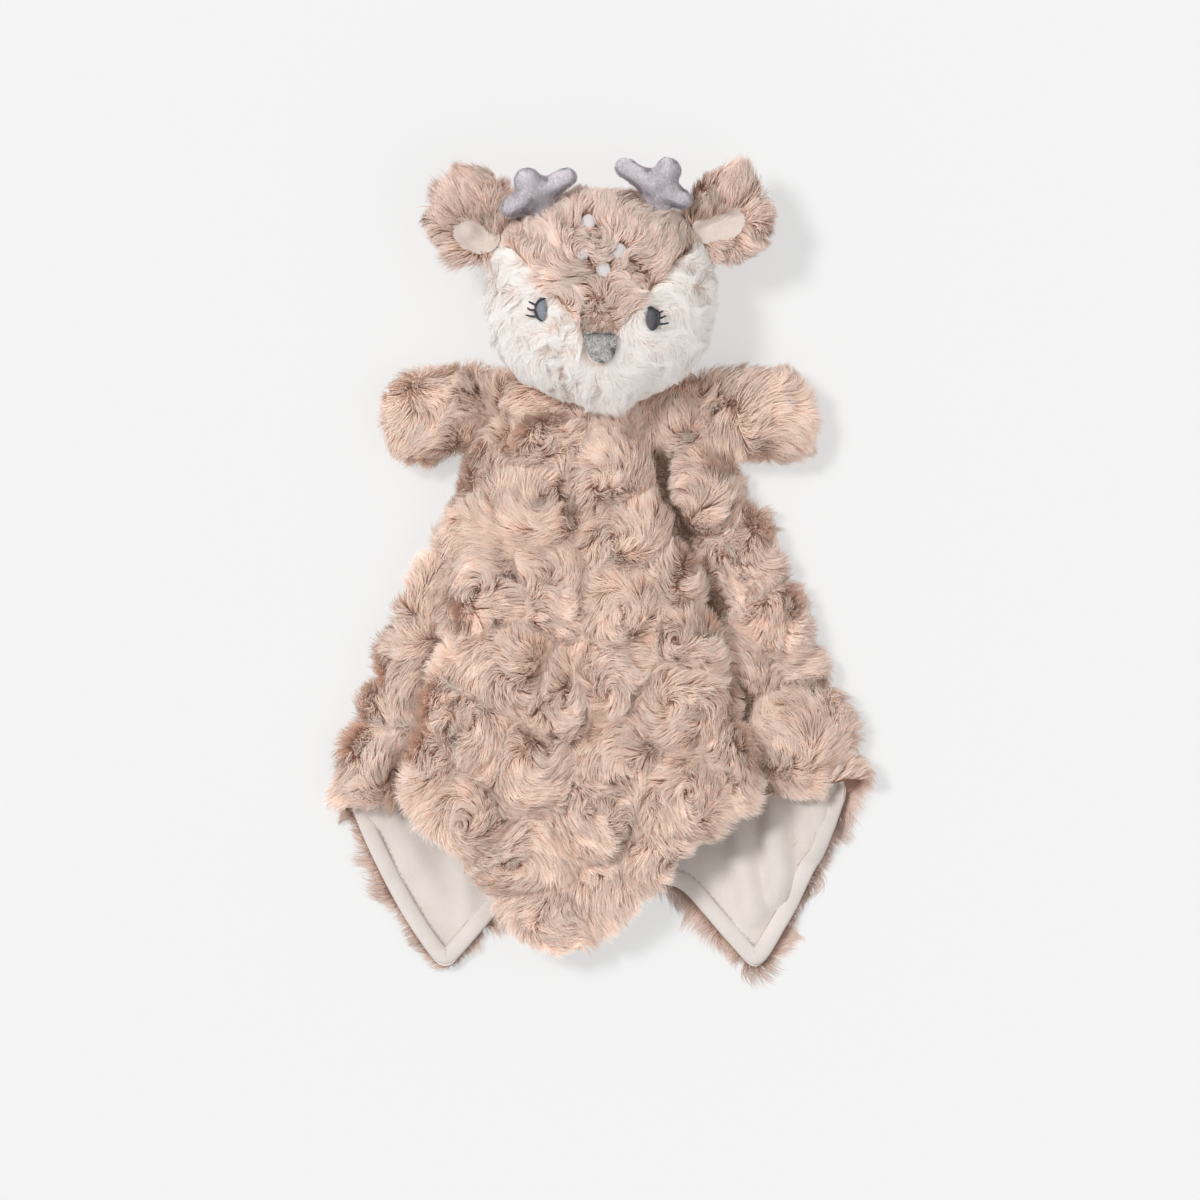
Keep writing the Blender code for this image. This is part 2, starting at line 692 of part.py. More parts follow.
def build_gather(pieces, cutters, knot):
    """The drawn-up centre of the blanket, with a seat for the knot and a flat edge for each arm."""
    rows = []
    front = BLANKET_TOP_Y + SEAM_GAP
    for length_share, swell in zip(GATHER_LENGTH_SHARES, GATHER_SWELL_SHARES):
        depth = GATHER_END_DEPTH + swell * (GATHER_MIDDLE_DEPTH - GATHER_END_DEPTH)
        height = SEAM_THICKNESS + swell * (GATHER_MIDDLE_HEIGHT - SEAM_THICKNESS)
        x, y, z = length_share * GATHER_HALF_LENGTH, front + depth / 2, SEAM_HEIGHT
        row = []
        for i in range(GATHER_STEPS):
            turn = 2 * math.pi * i / GATHER_STEPS
            back, up = math.cos(turn), math.sin(turn)
            risen = max(-back, 0.0) * max(up, 0.0) * swell * GATHER_FRONT_RISE
            if back < 0:
                back = -(abs(back) ** GATHER_FRONT_POWER)
                up = math.copysign(abs(up) ** GATHER_FRONT_POWER, up)
            row.append(Vector((x, y + back * depth / 2, z + up * height / 2 + risen)))
        rows.append(row)
    gather = loft("neck_gather", rows, "tan_plush", pieces)
    seat = add_ball("knot_seat", KNOT_RADIUS + SEAM_GAP, KNOT_SEGMENTS, KNOT_RINGS, cutters)
    seat.location = knot
    seat.hide_render = True
    seat.display_type = "WIRE"
    boolean(gather, seat, "DIFFERENCE")


def arm_profile():
    """Along, half width and half thickness of an arm: a flat shoulder seam, then a stuffed stub."""
    seam_radius = SEAM_THICKNESS / 2
    profile = []
    for along, width, swell in zip(ARM_LENGTH_SHARES, ARM_WIDTH_SHARES, ARM_SWELL_SHARES):
        if along <= ARM_LENGTH_SHARES[1]:
            half_width, half_thickness = width * ARM_SEAM_WIDTH / 2, swell * seam_radius
        elif along < ARM_LENGTH_SHARES[4]:
            half_width = (ARM_SEAM_WIDTH + width * (ARM_WIDTH - ARM_SEAM_WIDTH)) / 2
            half_thickness = seam_radius + swell * (ARM_THICKNESS / 2 - seam_radius)
        else:
            half_width, half_thickness = width * ARM_WIDTH / 2, swell * ARM_THICKNESS / 2
        profile.append((along * ARM_LENGTH, half_width, half_thickness))
    return profile


def arm_rows(side, inset, arc):
    """Sections of an arm, drawn in by an inset, over an arc in half turns."""
    width_share = 1.0 - 2 * inset / ARM_WIDTH
    thickness_share = 1.0 - 2 * inset / ARM_THICKNESS
    length_share = 1.0 - 2 * inset / ARM_LENGTH
    rows = []
    for along, half_width, half_thickness in arm_profile():
        u = inset + along * length_share
        settled = soft_step(0.0, ARM_LENGTH / 2, u)
        x = side * (GATHER_HALF_LENGTH + SEAM_GAP + u)
        z = SEAM_HEIGHT + settled * (ARM_THICKNESS / 2 - FLOOR_CUT - SEAM_HEIGHT)
        row = []
        for turn in arc:
            y = ARM_MIDDLE_Y + math.cos(turn) * half_width * width_share
            row.append(Vector((x, y, z + math.sin(turn) * half_thickness * thickness_share)))
        rows.append(row)
    return rows


def build_arm(name, side, pieces, cutters, floor, pivot):
    """Upper and under plush panel of one arm, and its stuffing."""
    steps = ARM_ARC_STEPS
    tilt = SEAM_GAP / ARM_SEAM_WIDTH
    for panel, sign in (("upper_panel", 1), ("under_panel", -1)):
        arc = [sign * (tilt + (math.pi - 2 * tilt) * i / steps) for i in range(steps + 1)]
        outer = arm_rows(side, 0.0, arc)
        inner = arm_rows(side, PLUSH_THICKNESS, list(reversed(arc)))
        rows = [first + second for first, second in zip(outer, inner)]
        made = loft(f"{name}_{panel}", rows, "tan_plush", pieces, pivot)
        if sign < 0:
            boolean(made, floor, "DIFFERENCE")
    arc = [2 * math.pi * i / ARM_STUFFING_STEPS for i in range(ARM_STUFFING_STEPS)]
    rows = arm_rows(side, PLUSH_THICKNESS + STUFFING_GAP, arc)[2:]
    loft(f"{name}_stuffing", rows, "stuffing", pieces, pivot)


def ear_outline(share=1.0):
    """An ear's outline about its middle: round, narrower at its seam, which is straight."""
    half_length, half_width = EAR_LENGTH / 2, EAR_WIDTH / 2
    seam = -half_length
    outline = []
    for i in range(EAR_STEPS):
        turn = 2 * math.pi * (i + 0.5) / EAR_STEPS
        along, across = math.cos(turn), math.sin(turn)
        u = half_length * along
        v = half_width * across * (1.0 + EAR_TIP_SPREAD_SHARE * along)
        near = soft_step(*EAR_SEAM_SHARES, -along)
        if near > 0:
            v_seam = math.copysign(min(abs(v), EAR_SEAM_WIDTH / 2), v)
            u, v = u + near * (seam - u), v + near * (v_seam - v)
        outline.append((share * u, share * v))
    return outline


def ear_half_thickness(u):
    """Half the ear's thickness, flat at its seam."""
    swell = soft_step(-EAR_LENGTH / 2, 0.0, u)
    return (EAR_SEAM_THICKNESS + swell * (EAR_THICKNESS - EAR_SEAM_THICKNESS)) / 2


def ear_front(u, share):
    """Front of the plush ear: a rim round the dish of the inner ear."""
    half = ear_half_thickness(u)
    if share >= 1.0:
        return RIM_HEIGHT / 2
    rim = half * math.sqrt(max(1.0 - share**EAR_RIM_POWER, 0.0))
    return rim - EAR_DISH_DEPTH * (1.0 - soft_step(*EAR_DISH_EDGE_SHARES, share))


def ear_back(u, share):
    """Back of the plush ear: domed."""
    half = ear_half_thickness(u)
    return -max(half * math.sqrt(max(1.0 - share**EAR_BACK_POWER, 0.0)), RIM_HEIGHT / 2)


def build_ear(name, frame, pieces, pivot):
    """Plush ear with its velour inner ear in the dish."""
    ring_solid(
        f"{name}_plush",
        ear_outline(),
        (0.0, 0.0),
        EAR_DISH_RING_SHARES,
        lambda u, v, share: ear_front(u, share),
        lambda u, v, share: ear_back(u, share),
        frame,
        "tan_plush",
        pieces,
        pivot,
    )
    ring_solid(
        f"{name}_inner",
        ear_outline(EAR_INNER_SHARE),
        (0.0, 0.0),
        PATCH_RING_SHARES,
        lambda u, v, share: ear_front(u, share * EAR_INNER_SHARE) + SEAM_GAP + VELOUR_THICKNESS,
        lambda u, v, share: ear_front(u, share * EAR_INNER_SHARE) + SEAM_GAP,
        frame,
        "lining_velour",
        pieces,
        pivot,
    )


def antler_outline():
    """Three lobes and a stem about the fork, as distances round a turn from straight up."""
    reaches = (ANTLER_REACH, ANTLER_OUTER_REACH, ANTLER_INNER_REACH, ANTLER_STEM)
    lobes = list(zip(ANTLER_LOBE_TURNS_DEG, reaches, ANTLER_LOBE_SPREADS_DEG))
    outline = []
    for i in range(ANTLER_STEPS):
        turn = 360.0 * i / ANTLER_STEPS
        distance = ANTLER_VALLEY
        for middle, reach, spread in lobes:
            away = (turn - middle + 180.0) % 360.0 - 180.0
            distance += (reach - ANTLER_VALLEY) * math.exp(-((away / spread) ** 2))
        angle = math.radians(turn)
        outline.append((math.cos(angle) * distance, math.sin(angle) * distance))
    return outline


def antler_half_thickness(u):
    """Half the antler's thickness, flat at its seam."""
    swell = soft_step(-ANTLER_STEM, 0.0, u)
    return (ANTLER_SEAM_THICKNESS + swell * (ANTLER_THICKNESS - ANTLER_SEAM_THICKNESS)) / 2


def antler_height(u, share, inset):
    """Height of the antler's outer side, or of a side drawn in by an inset."""
    half = antler_half_thickness(u)
    domed = math.sqrt(max(1.0 - share**ANTLER_EDGE_POWER, 0.0))
    full = half * (ANTLER_EDGE_SHARE + (1.0 - ANTLER_EDGE_SHARE) * domed)
    return full * (1.0 - 2 * inset / ANTLER_THICKNESS)


def build_antler(name, frame, mirrored, pieces, pivot):
    """Front and back velour panel of one antler, and its stuffing."""
    outline = antler_outline()
    if mirrored:
        outline = [(u, -v) for u, v in reversed(outline)]
    half_gap = SEAM_GAP / 2
    inside = 1.0 - VELOUR_THICKNESS / ANTLER_VALLEY

    def outer(u, _, share):
        return antler_height(u, share, 0.0) + half_gap

    def inner(u, _, share):
        hollow = antler_height(u, min(share / inside, 1.0), VELOUR_THICKNESS)
        return half_gap + hollow * (1.0 - soft_step(inside * ANTLER_WALL_SHARE, inside, share))

    ring_solid(
        f"{name}_front",
        outline,
        (0.0, 0.0),
        RING_SHARES,
        outer,
        inner,
        frame,
        "antler_velour",
        pieces,
        pivot,
    )
    ring_solid(
        f"{name}_back",
        outline,
        (0.0, 0.0),
        RING_SHARES,
        lambda u, v, share: -inner(u, v, share),
        lambda u, v, share: -outer(u, v, share),
        frame,
        "antler_velour",
        pieces,
        pivot,
    )
    filled = inside * ANTLER_STUFFING_SHARE
    core = [(u * filled, v * filled) for u, v in outline]

    def filling(u, v, share):
        return inner(u, v, share * filled) * ANTLER_STUFFING_SHARE

    ring_solid(
        f"{name}_stuffing",
        core,
        (0.0, 0.0),
        ANTLER_STUFFING_RING_SHARES,
        filling,
        lambda u, v, share: -filling(u, v, share),
        frame,
        "stuffing",
        pieces,
        pivot,
    )


def seam_frame(place, outward, lift):
    """A frame whose X points out of the head, Y along the seam and Z to the front, moved out by lift."""
    along_seam = Vector((0, 0, 1)).cross(outward).normalized()
    front = outward.cross(along_seam)
    turned = Matrix((outward, along_seam, front)).transposed().to_4x4()
    return Matrix.Translation(place + outward * lift) @ turned


def head_seat(across, rise):
    """The place on the head's crown side at a distance across and a rise, and its outward normal."""
    half = Vector((HEAD_WIDTH / 2, HEAD_LENGTH / 2, HEAD_HEIGHT / 2))
    along = math.sqrt(1.0 - (across / half.x) ** 2 - (rise / half.z) ** 2)
    local = Vector((across, along * half.y, rise))
    normal = Vector((local.x / half.x**2, local.y / half.y**2, local.z / half.z**2)).normalized()
    return Vector((0, HEAD_CENTRE_Y, HEAD_CENTRE_Z)) + local, normal


def build_ears_and_antlers(pieces, head_pivot):
    """Both ears and both antlers, each on its own base seam."""
    for side_name, side in (("left", -1), ("right", 1)):
        ear_across = math.cos(math.radians(EAR_ANGLE_DEG)) * HEAD_WIDTH / 2
        place, outward = head_seat(side * ear_across, 0.0)
        hinge = place + outward * (EAR_SEAM_THICKNESS / 2 + SEAM_GAP)
        pivot = add_pivot(f"{side_name}_ear_seam", hinge, pieces, head_pivot)
        frame = seam_frame(place, outward, EAR_LENGTH / 2 + SEAM_GAP)
        build_ear(f"{side_name}_ear", frame, pieces, pivot)
        place, outward = head_seat(side * ANTLER_SPREAD, ANTLER_RISE)
        hinge = place + outward * (ANTLER_SEAM_THICKNESS / 2 + SEAM_GAP)
        pivot = add_pivot(f"{side_name}_antler_seam", hinge, pieces, head_pivot)
        frame = seam_frame(place, outward, ANTLER_STEM + SEAM_GAP)
        build_antler(f"{side_name}_antler", frame, side > 0, pieces, pivot)


def main():
    """Build every piece and hang it on its pivot."""
    clear_scene()
    pieces = make_collection("comfort_blanket_lovey")
    cutters = make_collection("cutters")
    reach = BLANKET_HALF_WIDTH
    square = [(-reach, -reach), (reach, -reach), (reach, reach), (-reach, reach)]
    floor = add_cutter("floor", *prism(square, -reach, 0.0), cutters)

    build_blanket(pieces)
    fold = Vector((0, HEM_Y - SEAM_GAP / 2, SIDE_HEIGHT + FLAP_RISE))
    build_front_corner(pieces, add_pivot("front_corner_fold", fold, pieces))

    knot = knot_place()
    build_gather(pieces, cutters, knot)
    neck_pivot = add_pivot("neck_nod", knot, pieces)
    build_knot(pieces, neck_pivot)
    head_pivot = add_pivot("head_turn", knot, pieces, neck_pivot)
    build_head_panels(pieces, cutters, head_pivot)
    build_face(pieces, head_pivot)
    build_ears_and_antlers(pieces, head_pivot)

    for side_name, side in (("left", -1), ("right", 1)):
        shoulder = (side * SHOULDER_X, ARM_MIDDLE_Y, SEAM_HEIGHT)
        pivot = add_pivot(f"{side_name}_shoulder_seam", shoulder, pieces)
        build_arm(f"{side_name}_arm", side, pieces, cutters, floor, pivot)


main()
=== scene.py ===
"""Looks of a comfort blanket lovey: a stuffed fawn head, two arms and a swirled plush blanket, lying face up.

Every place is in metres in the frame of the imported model: +Y towards the head, +Z up out of the face.
The pile is real geometry: each strand is a thin ribbon rooted on the cloth below it.
"""

from __future__ import annotations

import logging
import math
from dataclasses import dataclass
from enum import Enum
from typing import Callable, Iterable, Sequence

import bmesh
import bpy
import numpy as np
from mathutils import Matrix, Vector


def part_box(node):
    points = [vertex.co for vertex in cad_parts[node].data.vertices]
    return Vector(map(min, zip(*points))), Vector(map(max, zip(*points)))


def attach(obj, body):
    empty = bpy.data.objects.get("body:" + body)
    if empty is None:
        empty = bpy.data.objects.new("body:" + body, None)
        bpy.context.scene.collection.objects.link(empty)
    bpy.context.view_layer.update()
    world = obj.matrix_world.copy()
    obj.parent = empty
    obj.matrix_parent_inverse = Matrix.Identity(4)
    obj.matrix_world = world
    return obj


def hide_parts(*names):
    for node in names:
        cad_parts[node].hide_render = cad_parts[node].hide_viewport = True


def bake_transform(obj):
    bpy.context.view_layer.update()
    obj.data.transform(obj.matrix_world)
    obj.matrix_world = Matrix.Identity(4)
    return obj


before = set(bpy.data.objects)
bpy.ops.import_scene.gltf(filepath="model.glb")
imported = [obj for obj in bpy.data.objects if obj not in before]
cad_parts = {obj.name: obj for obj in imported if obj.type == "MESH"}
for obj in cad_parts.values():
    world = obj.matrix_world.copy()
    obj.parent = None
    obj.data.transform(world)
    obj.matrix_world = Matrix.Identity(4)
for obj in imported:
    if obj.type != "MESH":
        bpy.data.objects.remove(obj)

LOG = logging.getLogger("lovey")
BAKE_UV = "OFBake"
MOST_STRANDS = 27000
AT_ONCE = 4000
FLOOR_GAP = 0.0004
SEAM_GAP = 0.0003
Array = np.ndarray
Flow = Callable[[Array, Array], Array]
Mask = Callable[[Array, Array], Array]
Colour = tuple[float, float, float]


class Side(Enum):
    """The two sides of the toy as the photograph shows them."""

    LEFT = -1
    RIGHT = 1

    @property
    def label(self) -> str:
        """The side's name as the CAD nodes write it."""
        return self.name.lower()


# ---- Small mathematics ----


def unit(vectors: Array) -> Array:
    """Vectors made one long.

    Args:
        vectors: Any number of vectors, along the last axis.

    Returns:
        The same vectors at unit length.
    """
    return vectors / np.maximum(np.linalg.norm(vectors, axis=-1, keepdims=True), 1e-12)


def soft_step(low: float, high: float, at: Array | float) -> Array:
    """A smooth rise from 0 to 1.

    Args:
        low: Where it starts.
        high: Where it ends.
        at: The values to look up.

    Returns:
        0 below low, 1 above high.
    """
    t = np.clip((np.asarray(at, float) - low) / (high - low), 0.0, 1.0)
    return t * t * (3 - 2 * t)


def rising(least: float, low: float, high: float, at: Array | float) -> Array:
    """A share that rises smoothly from least to 1 between low and high."""
    return least + (1 - least) * soft_step(low, high, at)


def bell(at: Array, width: float) -> Array:
    """A smooth bump that is 1 at 0 and falls off over a width."""
    return np.exp(-((at / width) ** 2))


def full_turn(count: int) -> Array:
    """Angles of a full turn in even steps, in radians."""
    return np.linspace(0, 2 * math.pi, count, endpoint=False)


def run_along(points: Array) -> Array:
    """Distance along a line of points, from 0 at the first."""
    return np.concatenate([[0], np.cumsum(np.linalg.norm(np.diff(points, axis=0), axis=1))])


def resampled(at: Array, run: Array, values: Array) -> Array:
    """Values at other distances along a line.

    Args:
        at: The distances wanted.
        run: The distances of the values that are known.
        values: Those values, one row each.

    Returns:
        One row for each distance.
    """
    return np.stack([np.interp(at, run, column) for column in values.T], 1)


def nearest(places: Array, centres: Array) -> tuple[Array, Array]:
    """The nearest centre of each place.

    Args:
        places: Points, N by 3.
        centres: Points, M by 3.

    Returns:
        The index of the nearest centre and the distance to it.
    """
    index = np.empty(len(places), int)
    distance = np.empty(len(places))
    square = (centres**2).sum(1)
    for start in range(0, len(places), AT_ONCE):
        part = places[start : start + AT_ONCE]
        apart = (part**2).sum(1)[:, None] + square[None] - 2 * part @ centres.T
        found = apart.argmin(1)
        index[start : start + AT_ONCE] = found
        distance[start : start + AT_ONCE] = np.sqrt(np.maximum(apart[np.arange(len(part)), found], 0))
    return index, distance


class Ripple:
    """A smooth pseudo-random field over space, made of a few waves."""

    def __init__(self, seed: int, wavelength: float, outputs: int = 1, waves: int = 14) -> None:
        """Draw the waves.

        Args:
            seed: Start of the random draw.
            wavelength: Typical length of a wave, in metres.
            outputs: How many values each point gets.
            waves: How many waves are added.
        """
        rng = np.random.default_rng(seed)
        self.wave = rng.normal(size=(3, waves)) * 2 * math.pi / wavelength / math.sqrt(3)
        self.phase = rng.uniform(0, 2 * math.pi, waves)
        self.weight = rng.normal(size=(waves, outputs)) * math.sqrt(2 / waves)

    def __call__(self, places: Array) -> Array:
        """The field's values, N by outputs, about one strong."""
        return np.sin(places @ self.wave + self.phase) @ self.weight


# ---- Meshes ----


def linked(name: str, data: bpy.types.ID) -> bpy.types.Object:
    """A new object of the scene round a mesh, a light or a camera."""
    made = bpy.data.objects.new(name, data)
    bpy.context.scene.collection.objects.link(made)
    return made


def mesh_object(name: str, points: Array, faces: Iterable[Sequence[int]]) -> bpy.types.Object:
    """A smooth mesh object from points and faces.

    Args:
        name: The object's name.
        points: Vertices, N by 3.
        faces: Corner indices of each face.

    Returns:
        The new object, linked to the scene.
    """
    mesh = bpy.data.meshes.new(name)
    mesh.from_pydata(np.asarray(points, float).tolist(), [], [tuple(f) for f in faces])
    mesh.shade_smooth()
    return linked(name, mesh)


def outward(obj: bpy.types.Object) -> bpy.types.Object:
    """Turn a closed mesh's faces outward and return the object."""
    turned = bmesh.new()
    turned.from_mesh(obj.data)
    bmesh.ops.remove_doubles(turned, verts=turned.verts, dist=1e-6)
    bmesh.ops.recalc_face_normals(turned, faces=turned.faces)
    turned.to_mesh(obj.data)
    turned.free()
    obj.data.shade_smooth()
    return obj


def subdivided(obj: bpy.types.Object) -> bpy.types.Object:
    """Smooth a mesh object by one subdivision, applied.

    Args:
        obj: The object.

    Returns:
        The same object with its new mesh.
    """
    modifier = obj.modifiers.new("smooth", "SUBSURF")
    modifier.levels = modifier.render_levels = 1
    graph = bpy.context.evaluated_depsgraph_get()
    mesh = bpy.data.meshes.new_from_object(obj.evaluated_get(graph))
    obj.modifiers.clear()
    obj.data = mesh
    return obj


def grid_faces(rows: int, columns: int, closed: bool) -> list[tuple[int, int, int, int]]:
    """Faces of a grid of points.

    Args:
        rows: How many rows it has.
        columns: How many points each row has.
        closed: Whether the last column joins the first.

    Returns:
        Four corner indices a face.
    """
    last = columns if closed else columns - 1
    number = np.arange(rows * columns).reshape(rows, columns)
    after = np.roll(number, -1, 1)
    corners = (number[:-1, :last], number[1:, :last], after[1:, :last], after[:-1, :last])
    return [tuple(face) for face in np.stack(corners, -1).reshape(-1, 4).tolist()]


def closed_tube(rows: int, sides: int) -> list[tuple[int, ...]]:
    """Faces of a tube of a few rings, with its two ends."""
    last = (rows - 1) * sides
    return [*grid_faces(rows, sides, True), tuple(range(sides)), tuple(reversed(range(last, last + sides)))]


def grid_normals(grid: Array, closed: bool) -> Array:
    """Normals of a grid of points, rows by columns by 3."""
    if closed:
        across = np.roll(grid, -1, 1) - np.roll(grid, 1, 1)
    else:
        across = np.gradient(grid, axis=1)
    return unit(np.cross(np.gradient(grid, axis=0), across))


@dataclass
class Skin:
    """The cloth that a pile is rooted on."""

    points: Array
    triangles: Array
    normals: Array

    @classmethod
    def of(cls, obj: bpy.types.Object) -> Skin:
        """Read the skin of a mesh object that sits at the origin.

        Args:
            obj: The object.

        Returns:
            Its points, triangles and point normals.
        """
        mesh = obj.data
        mesh.calc_loop_triangles()
        points = np.empty(len(mesh.vertices) * 3, np.float32)
        mesh.vertices.foreach_get("co", points)
        normals = np.empty(len(mesh.vertices) * 3, np.float32)
        mesh.vertices.foreach_get("normal", normals)
        triangles = np.empty(len(mesh.loop_triangles) * 3, np.int32)
        mesh.loop_triangles.foreach_get("vertices", triangles)
        return cls(
            points.reshape(-1, 3).astype(float), triangles.reshape(-1, 3), normals.reshape(-1, 3).astype(float)
        )

    def scatter(self, per_square_metre: float, rng: np.random.Generator) -> tuple[Array, Array]:
        """Points spread evenly over the skin.

        Args:
            per_square_metre: How many points a square metre gets.
            rng: Source of the random draw.

        Returns:
            The points and their normals.
        """
        a, b, c = (self.points[self.triangles[:, i]] for i in range(3))
        area = np.linalg.norm(np.cross(b - a, c - a), axis=1) / 2
        count = int(area.sum() * per_square_metre)
        pick = np.searchsorted(np.cumsum(area) / area.sum(), rng.random(count)).clip(0, len(area) - 1)
        u, v = rng.random((2, count, 1))
        over = u + v > 1
        u, v = np.where(over, 1 - u, u), np.where(over, 1 - v, v)
        corner = self.triangles[pick]
        share = np.stack([1 - u - v, u, v], 1)
        return (self.points[corner] * share).sum(1), unit((self.normals[corner] * share).sum(1))


# ---- Which way the pile lies ----


class Swirls:
    """Rosettes: the pile turns round each centre, and stands in small tufts where three meet.

    CANDIDATES is how many places are tried in a square of one spacing, ONE_WAY the share of rosettes that turn the
    same way. The other values are shares of the spacing, and metres where they end in _M.
    """

    CANDIDATES = 60
    ONE_WAY = 0.85
    MEETING = 0.14
    TUFT_GAP = 0.6
    BLUR = 0.40
    LEAN_DEG = (-14.0, 30.0)
    LEAN_FROM_TO = (0.14, 0.56)
    TUFT_PULL_M = 0.0068
    TUFT_CORE_M = 0.0036

    def __init__(self, skin: Skin, spacing: float, seed: int, flatten: float = 1.0, tufted: float = 0.0) -> None:
        """Spread the centres over a skin.

        Args:
            skin: The cloth that carries the rosettes.
            spacing: Least distance between two centres, in metres.
            seed: Start of the random draw.
            flatten: How much further apart two layers count, one above the other.
            tufted: Share of the meeting places that carry a standing tuft.
        """
        rng = np.random.default_rng(seed)
        self.spacing = spacing
        self.stretch = np.array([1.0, 1.0, flatten])
        candidates = skin.scatter(self.CANDIDATES / spacing**2, rng)[0]
        self.centres = self._apart_by(candidates, spacing)
        self.turning = np.where(rng.random(len(self.centres)) < self.ONE_WAY, 1.0, -1.0)
        distance = np.sqrt(np.sort(self._apart(candidates), axis=1)[:, :3])
        even = distance[:, 2] - distance[:, 0]
        found = candidates[np.argsort(even)][: int((even < self.MEETING * spacing).sum())]
        meeting = self._apart_by(found, self.TUFT_GAP * spacing)
        self.tufts = meeting[rng.random(len(meeting)) < tufted]

    def _apart_by(self, candidates: Array, gap: float) -> Array:
        """The candidates, in order, that keep a gap to those before them."""
        chosen: list[Array] = []
        for place in candidates:
            if all(np.linalg.norm((place - other) * self.stretch) >= gap for other in chosen):
                chosen.append(place)
        return np.array(chosen).reshape(-1, 3)

    def _apart(self, places: Array) -> Array:
        """Squared distance of each place to each centre."""
        near, far = places * self.stretch, self.centres * self.stretch
        apart = (near**2).sum(1)[:, None] + (far**2).sum(1)[None] - 2 * near @ far.T
        return np.maximum(apart, 1e-8)

    def __call__(self, places: Array, normals: Array) -> Array:
        """The way the pile lies, up to one long.

        Args:
            places: Points, N by 3.
            normals: The skin's normals there.

        Returns:
            A vector for each point.
        """
        apart = self._apart(places)
        least = apart.min(1, keepdims=True)
        weight = np.exp(-(apart - least) / (self.BLUR * self.spacing) ** 2)
        weight /= weight.sum(1, keepdims=True)
        pull = weight / np.sqrt(apart)
        turning = pull * self.turning
        round_it = places * turning.sum(1, keepdims=True) - turning @ self.centres
        away = places * pull.sum(1, keepdims=True) - pull @ self.centres
        reach = np.sqrt(least) / self.spacing
        lean = np.radians(self.LEAN_DEG[0] + self.LEAN_DEG[1] * soft_step(*self.LEAN_FROM_TO, reach))
        lie = np.cos(lean) * np.cross(normals, round_it) + np.sin(lean) * away
        lie = lie * rising(0.25, 0.02, 0.13, reach)
        if not len(self.tufts):
            return lie
        index, distance = nearest(places * self.stretch, self.tufts * self.stretch)
        distance = distance[:, None]
        inward = unit(self.tufts[index] - places) * bell(distance, self.TUFT_PULL_M)
        return lie * (1 - 0.92 * bell(distance, self.TUFT_CORE_M)) + inward * soft_step(0.0005, 0.003, distance)

    def _reach(self, places: Array) -> tuple[Array, Array]:
        """Distance to the nearest centre and to the border with the next, as shares of the spacing."""
        apart = np.sqrt(np.sort(self._apart(places), axis=1)[:, :2]) / self.spacing
        return apart[:, 0], (apart[:, 1] - apart[:, 0]) / 2

    def shorter(self, places: Array, _: Array | None = None) -> Array:
        """Share of its length that the pile keeps at a rosette's middle and where two meet."""
        centre, border = self._reach(places)
        return rising(0.50, 0.04, 0.34, centre) * rising(0.74, 0.0, 0.14, border)

    def mound(self, places: Array) -> Array:
        """How high the rosettes swell at each place, from 0 where two meet to 1 on their rings."""
        centre, border = self._reach(places)
        return soft_step(0.0, 0.30, border) * (1.0 - 0.22 * bell(centre, 0.13))


def flat_on(vectors: Array, normals: Array) -> Array:
    """The part of each vector that lies in the skin."""
    return vectors - normals * (vectors * normals).sum(-1, keepdims=True)


@dataclass(frozen=True)
class Pile:
    """How a cloth's pile grows."""

    length: float
    width: float
    per_square_metre: float
    lift_deg: float = 48.0
    end_deg: float = 2.0
    stand_deg: float = 30.0
    tuft: float = 0.005
    pull: float = 0.6
    uneven: float = 0.18
    stray_deg: float = 14.0
    steps: int = 4

    def paths(self, roots: Array, normals: Array, flow: Flow, length: Array, turn: Array) -> Array:
        """Grow strands.

        Args:
            roots: Where they start, N by 3.
            normals: The skin's normals there.
            flow: Which way the pile lies at a place.
            length: Length of each strand.
            turn: Angle by which each strays from the flow, in radians.

        Returns:
            Points of each strand, steps + 1 by N by 3.
        """
        here = roots
        places = [roots]
        bent, crossed = np.cos(turn)[:, None], np.sin(turn)[:, None]
        for step in range(self.steps):
            along = flat_on(flow(here, normals), normals)
            strength = np.linalg.norm(along, axis=1).clip(0, 1)
            along = unit(along)
            along = along * bent + np.cross(normals, along) * crossed
            t = step / max(self.steps - 1, 1)
            angle = self.lift_deg + (self.end_deg - self.lift_deg) * t
            angle = np.radians(angle + self.stand_deg * (1 - strength))[:, None]
            here = here + (along * np.cos(angle) + normals * np.sin(angle)) * (length / self.steps)[:, None]
            places.append(here)
        return np.array(places)


